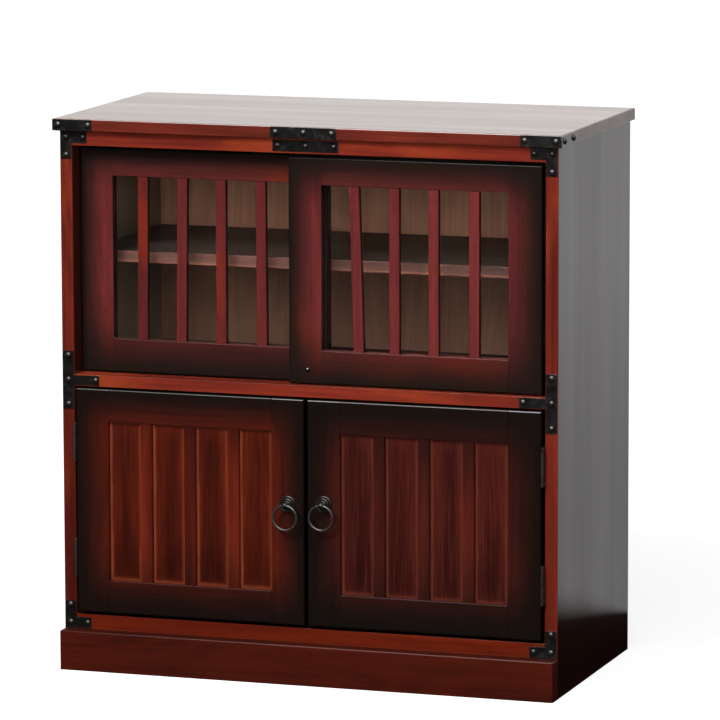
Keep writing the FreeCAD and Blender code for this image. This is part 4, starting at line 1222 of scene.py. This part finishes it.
class CUPBOARD_OT_hinged_doors(bpy.types.Operator):
    """Stain the two hinged doors, with worn edges on their panels"""

    bl_idname = "cupboard.hinged_doors"
    bl_label = "Hinged doors"

    def execute(self, context):
        stains = context.scene.cupboard.wood
        for side in SIDES:
            self.door(stains, side, f"{side}_door")
        return {"FINISHED"}

    def door(self, stains, side, door):
        """A door's stiles, rails, mullions and panel."""
        red = (getattr(stains, f"{side}_light"), getattr(stains, f"{side}_dark"))
        reach = getattr(stains, f"{side}_reach")
        stiles = [f"{door}_hinge_stile", f"{door}_meeting_stile"]
        limits = box_of(*(f"{door}_{part}" for part in DOOR_PARTS))
        burn = blackened(limits, reach, stains.black)
        stain_boards(f"{door}_stiles", red, "Z", SATIN, burn, nodes=stiles)
        stain_boards(f"{door}_top_rail", red, "X", RUBBED, burn)
        stain_boards(f"{door}_bottom_rail", red, "X", FAINT, burn)
        mullions = solids_of(f"{door}_mullions")
        wide = [MULLION_REACH_FACTOR * width for width in reach]
        glowing = both(glowing_strips(mullions, getattr(stains, f"{side}_glow"), stains.glint),
                       blackened(limits, wide, stains.black, MULLION_BURN_SHARE))
        stain_boards(f"{door}_mullions", red, "Z", SATIN, glowing)
        low, high = self.window(side, door)
        first_low, first_high = mullions[0]
        # Painted shade: the panel darkens towards its foot, where less light falls.
        worn = both(faded_down((low.z + high.z) / 2, low.z, PANEL_FADE[side], FOOT_LEVEL),
                    worn_panel(low, high, first_high.x - first_low.x, len(mullions) + 1,
                               getattr(stains, f"{side}_wear"), FIELD_CENTRES[side], PANEL_LINES[side]))
        stain_boards(f"{door}_panel", red, "Z", SATIN, facing_front(f"{door}_panel", worn))

    def window(self, side, door):
        """The opening inside a door's stiles and rails."""
        left, right = ("hinge", "meeting") if side == "left" else ("meeting", "hinge")
        low = Vector((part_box(f"{door}_{left}_stile")[1].x, 0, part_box(f"{door}_bottom_rail")[1].z))
        high = Vector((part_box(f"{door}_{right}_stile")[0].x, 0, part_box(f"{door}_top_rail")[0].z))
        return low, high


class CUPBOARD_OT_glass(bpy.types.Operator):
    """Glaze the sliding doors"""

    bl_idname = "cupboard.glass"
    bl_label = "Glass"

    def execute(self, context):
        paint(glass_finish("clear_pane", context.scene.cupboard.glass), "front_glass", "rear_glass")
        return {"FINISHED"}


class CUPBOARD_OT_plates(bpy.types.Operator):
    """Make the iron plates with softened edges"""

    bl_idname = "cupboard.plates"
    bl_label = "Iron plates"

    def execute(self, context):
        iron = context.scene.cupboard.iron
        black = iron_finish("black_iron", iron.plate, iron.worn_plate, PLATE_SKIN)
        for node in ("centre_plates", "corner_angles", "left_tee_plate", "right_tee_plate",
                     "top_left_strap", "top_right_strap"):
            bevelled_copy(f"bevelled_{node}", node, iron.plate_bevel, BODY, black)
        return {"FINISHED"}


class CUPBOARD_OT_nails(bpy.types.Operator):
    """Drive the domed nails"""

    bl_idname = "cupboard.nails"
    bl_label = "Nails"

    def execute(self, context):
        iron = context.scene.cupboard.iron
        boxes = solids_of("plate_nails")
        low, high = boxes[0]
        extents = sorted(high - low)
        values = {"Diameter": extents[-1], "Height": extents[0], "Hammering": iron.nail_hammering,
                  "Segments": 20, "Seed": 4,
                  "Finish": iron_finish("nail_iron", iron.iron, iron.worn_iron, NAIL_SKIN)}
        points = [self.seat(*box) for box in boxes]
        grown("domed_nails", nail_tree(), points, values, BODY, ["plate_nails"])
        return {"FINISHED"}

    def seat(self, low, high):
        """Where a nail's head meets its plate, and the way that it faces."""
        middle = (low + high) / 2
        if high.x - low.x < high.y - low.y:
            way = math.copysign(1, middle.x)
            return (low.x if way > 0 else high.x, middle.y, middle.z), (way, 0, 0)
        return (middle.x, high.y, middle.z), (0, -1, 0)


# A screw's shank, by its head's diameter.
SHANK_SHARE = 0.48


class CUPBOARD_OT_hinges(bpy.types.Operator):
    """Finish the hinges and drive their screws"""

    bl_idname = "cupboard.hinges"
    bl_label = "Hinges"

    def execute(self, context):
        iron = context.scene.cupboard.iron
        steel = iron_finish("grey_steel", iron.steel, iron.worn_steel, STEEL_SKIN)
        paint(steel, "frame_hinge_leaves", "hinge_pins", "left_door_hinge_leaves", "right_door_hinge_leaves")
        group = screw_tree()
        for holder, body, way in (("frame", BODY, -1), ("left_door", "left_door", 1),
                                  ("right_door", "right_door", 1)):
            node = f"{holder}_hinge_screws"
            boxes = solids_of(node)
            size = boxes[0][1] - boxes[0][0]
            points = [self.seat(low, high, way) for low, high in boxes]
            values = {"Head Diameter": size.z, "Head Height": iron.leaf_thickness,
                      "Shank Diameter": size.z * SHANK_SHARE, "Length": size.x - iron.leaf_thickness,
                      "Slot Width": iron.screw_slot, "Slot Depth": iron.screw_slot_depth, "Hammering": 0.0,
                      "Head Corners": 28, "Shank Corners": 16, "Seed": 1, "Finish": steel}
            grown(f"{holder}_slotted_screws", group, points, values, body, [node])
        return {"FINISHED"}

    def seat(self, low, high, way):
        """Where a screw's head lies, and the way that it faces: away from the wood it holds."""
        middle = (low + high) / 2
        facing = way * math.copysign(1, middle.x)
        return (high.x if facing > 0 else low.x, middle.y, middle.z), (facing, 0, 0)


class Step(NamedTuple):
    """A rounded step of a rosette, in millimetres from its rim and its foot, with the groove inside it."""

    inwards: float
    height: float
    radius: float
    span: tuple
    corners: int
    groove: tuple = ()


# The rosette's rim, its steps, and the (radius, height) pairs of its neck, in millimetres. The arcs of
# its steps and of its ball span degrees, and it is turned with a number of corners to the round.
RIM_HEIGHT = 0.9
ROSETTE_STEPS = (
    Step(1.3, 0.9, 1.3, span=(0, 100), corners=6, groove=(2.5, 1.7)),
    Step(4.0, 2.3, 1.3, span=(10, 105), corners=5, groove=(4.9, 3.2)),
    Step(6.4, 3.8, 1.2, span=(5, 110), corners=5))
NECK = ((1.9, 5.3), (1.7, 6.5))
BALL_SPAN = (-58, 90)
BALL_CORNERS = 12
ROSETTE_CORNERS = 48
ROSETTE_SHARP = math.radians(35)


class CUPBOARD_OT_pulls(bpy.types.Operator):
    """Make the ring pulls with their stepped rosettes"""

    bl_idname = "cupboard.pulls"
    bl_label = "Ring pulls"

    def execute(self, context):
        iron = context.scene.cupboard.iron
        black = iron_finish("pull_iron", iron.iron, iron.worn_iron, ROSETTE_SKIN)
        # The rings get the lighter iron, a painted sheen.
        rubbed = iron_finish("ring_iron", iron.ring, iron.worn_iron, RING_SKIN)
        group = ring_tree()
        for side in SIDES:
            low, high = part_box(f"{side}_pull_ring")
            wire = high.y - low.y
            values = {"Ring Radius": (high.x - low.x - wire) / 2, "Wire Radius": wire / 2,
                      "Hammering": iron.ring_hammering, "Ring Corners": 96, "Wire Corners": 20, "Seed": 2,
                      "Finish": rubbed}
            grown(f"{side}_iron_ring", group, [((low + high) / 2, (0, -1, 0))], values,
                  f"{side}_ring", [f"{side}_pull_ring"])
            self.rosette(side, iron, black)
        return {"FINISHED"}

    def rosette(self, side, iron, black):
        """The turned rosette, lying against its door, with its ball drilled for the ring."""
        low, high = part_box(f"{side}_pull_rosette")
        ring_low, ring_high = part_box(f"{side}_pull_ring")
        wire = ring_high.y - ring_low.y
        middle = (low.x + high.x) / 2
        top = ring_high.z - wire / 2
        flange = (high.x - low.x) / 2
        mesh = turned(self.profile(flange, high.y - low.y, iron.eye_radius), ROSETTE_CORNERS)
        forwards = Matrix.Rotation(math.pi / 2, 3, "X")
        bmesh.ops.rotate(mesh, verts=mesh.verts, cent=(0, 0, 0), matrix=forwards)
        bmesh.ops.translate(mesh, verts=mesh.verts, vec=(middle, high.y, top))
        name = f"{side}_turned_rosette"
        data = bpy.data.meshes.new(name)
        mesh.to_mesh(data)
        mesh.free()
        eye = Vector((middle, (ring_low.y + ring_high.y) / 2, top))
        data = drilled(data, eye, wire / 2 + iron.eye_play, flange)
        data.shade_smooth()
        data.set_sharp_from_angle(angle=ROSETTE_SHARP)
        new_piece(name, data, f"{side}_door", black, [f"{side}_pull_rosette"])

    def profile(self, flange, reach, ball):
        """Three rounded steps, a short neck and the ball, as (radius, height) pairs."""
        profile = [(0, 0), (flange, 0), (flange, RIM_HEIGHT * MM)]
        for step in ROSETTE_STEPS:
            centre = (flange - step.inwards * MM, step.height * MM)
            profile += arc(centre, step.radius * MM, step.span, step.corners)
            if step.groove:
                inwards, height = step.groove
                profile.append((flange - inwards * MM, height * MM))
        profile += [(radius * MM, height * MM) for radius, height in NECK]
        profile += arc((0, reach - ball), ball, BALL_SPAN, BALL_CORNERS)
        # The arc's last corner misses the axis by a rounding error.
        profile[-1] = (0, reach)
        return profile


class CUPBOARD_OT_fittings(bpy.types.Operator):
    """Finish the stop pin, the shelf pegs and the door catches"""

    bl_idname = "cupboard.fittings"
    bl_label = "Fittings"

    def execute(self, context):
        iron = context.scene.cupboard.iron
        steel = iron_finish("peg_steel", iron.steel, iron.worn_steel, STEEL_SKIN)
        paint(steel, "shelf_pegs", "left_door_strike", "right_door_strike")
        paint(iron_finish("pin_iron", iron.iron, iron.worn_iron, PIN_SKIN), "front_stop_pin")
        paint(plastic_finish("catch_plastic", iron.catch), "door_catches")
        return {"FINISHED"}


class CUPBOARD_PT_panel(bpy.types.Panel):
    """The cupboard's steps and settings in the sidebar"""

    bl_idname = "CUPBOARD_PT_panel"
    bl_label = "Cupboard"
    bl_space_type = "VIEW_3D"
    bl_region_type = "UI"
    bl_category = "Cupboard"

    def draw(self, context):
        for operator in OPERATORS:
            self.layout.operator(operator.bl_idname)
        for name in ("stage", "wood", "iron", "glass"):
            group = getattr(context.scene.cupboard, name)
            box = self.layout.box()
            box.label(text=name.capitalize())
            for setting in group.__annotations__:
                box.prop(group, setting)


SETTINGS = (StageSettings, WoodSettings, IronSettings, GlassSettings, CupboardSettings)
OPERATORS = (
    CUPBOARD_OT_stage, CUPBOARD_OT_boards, CUPBOARD_OT_sliding_doors, CUPBOARD_OT_hinged_doors,
    CUPBOARD_OT_glass, CUPBOARD_OT_plates, CUPBOARD_OT_nails, CUPBOARD_OT_hinges, CUPBOARD_OT_pulls,
    CUPBOARD_OT_fittings)
CLASSES = (*SETTINGS, *OPERATORS, CUPBOARD_PT_panel)


def register():
    for item in CLASSES:
        bpy.utils.register_class(item)
    bpy.types.Scene.cupboard = bpy.props.PointerProperty(type=CupboardSettings)


def unregister():
    del bpy.types.Scene.cupboard
    for item in reversed(CLASSES):
        bpy.utils.unregister_class(item)


def main():
    """Run every step."""
    register()
    bpy.ops.cupboard.stage()
    bpy.ops.cupboard.boards()
    bpy.ops.cupboard.sliding_doors()
    bpy.ops.cupboard.hinged_doors()
    bpy.ops.cupboard.glass()
    bpy.ops.cupboard.plates()
    bpy.ops.cupboard.nails()
    bpy.ops.cupboard.hinges()
    bpy.ops.cupboard.pulls()
    bpy.ops.cupboard.fittings()


if __name__ == "__main__":
    main()
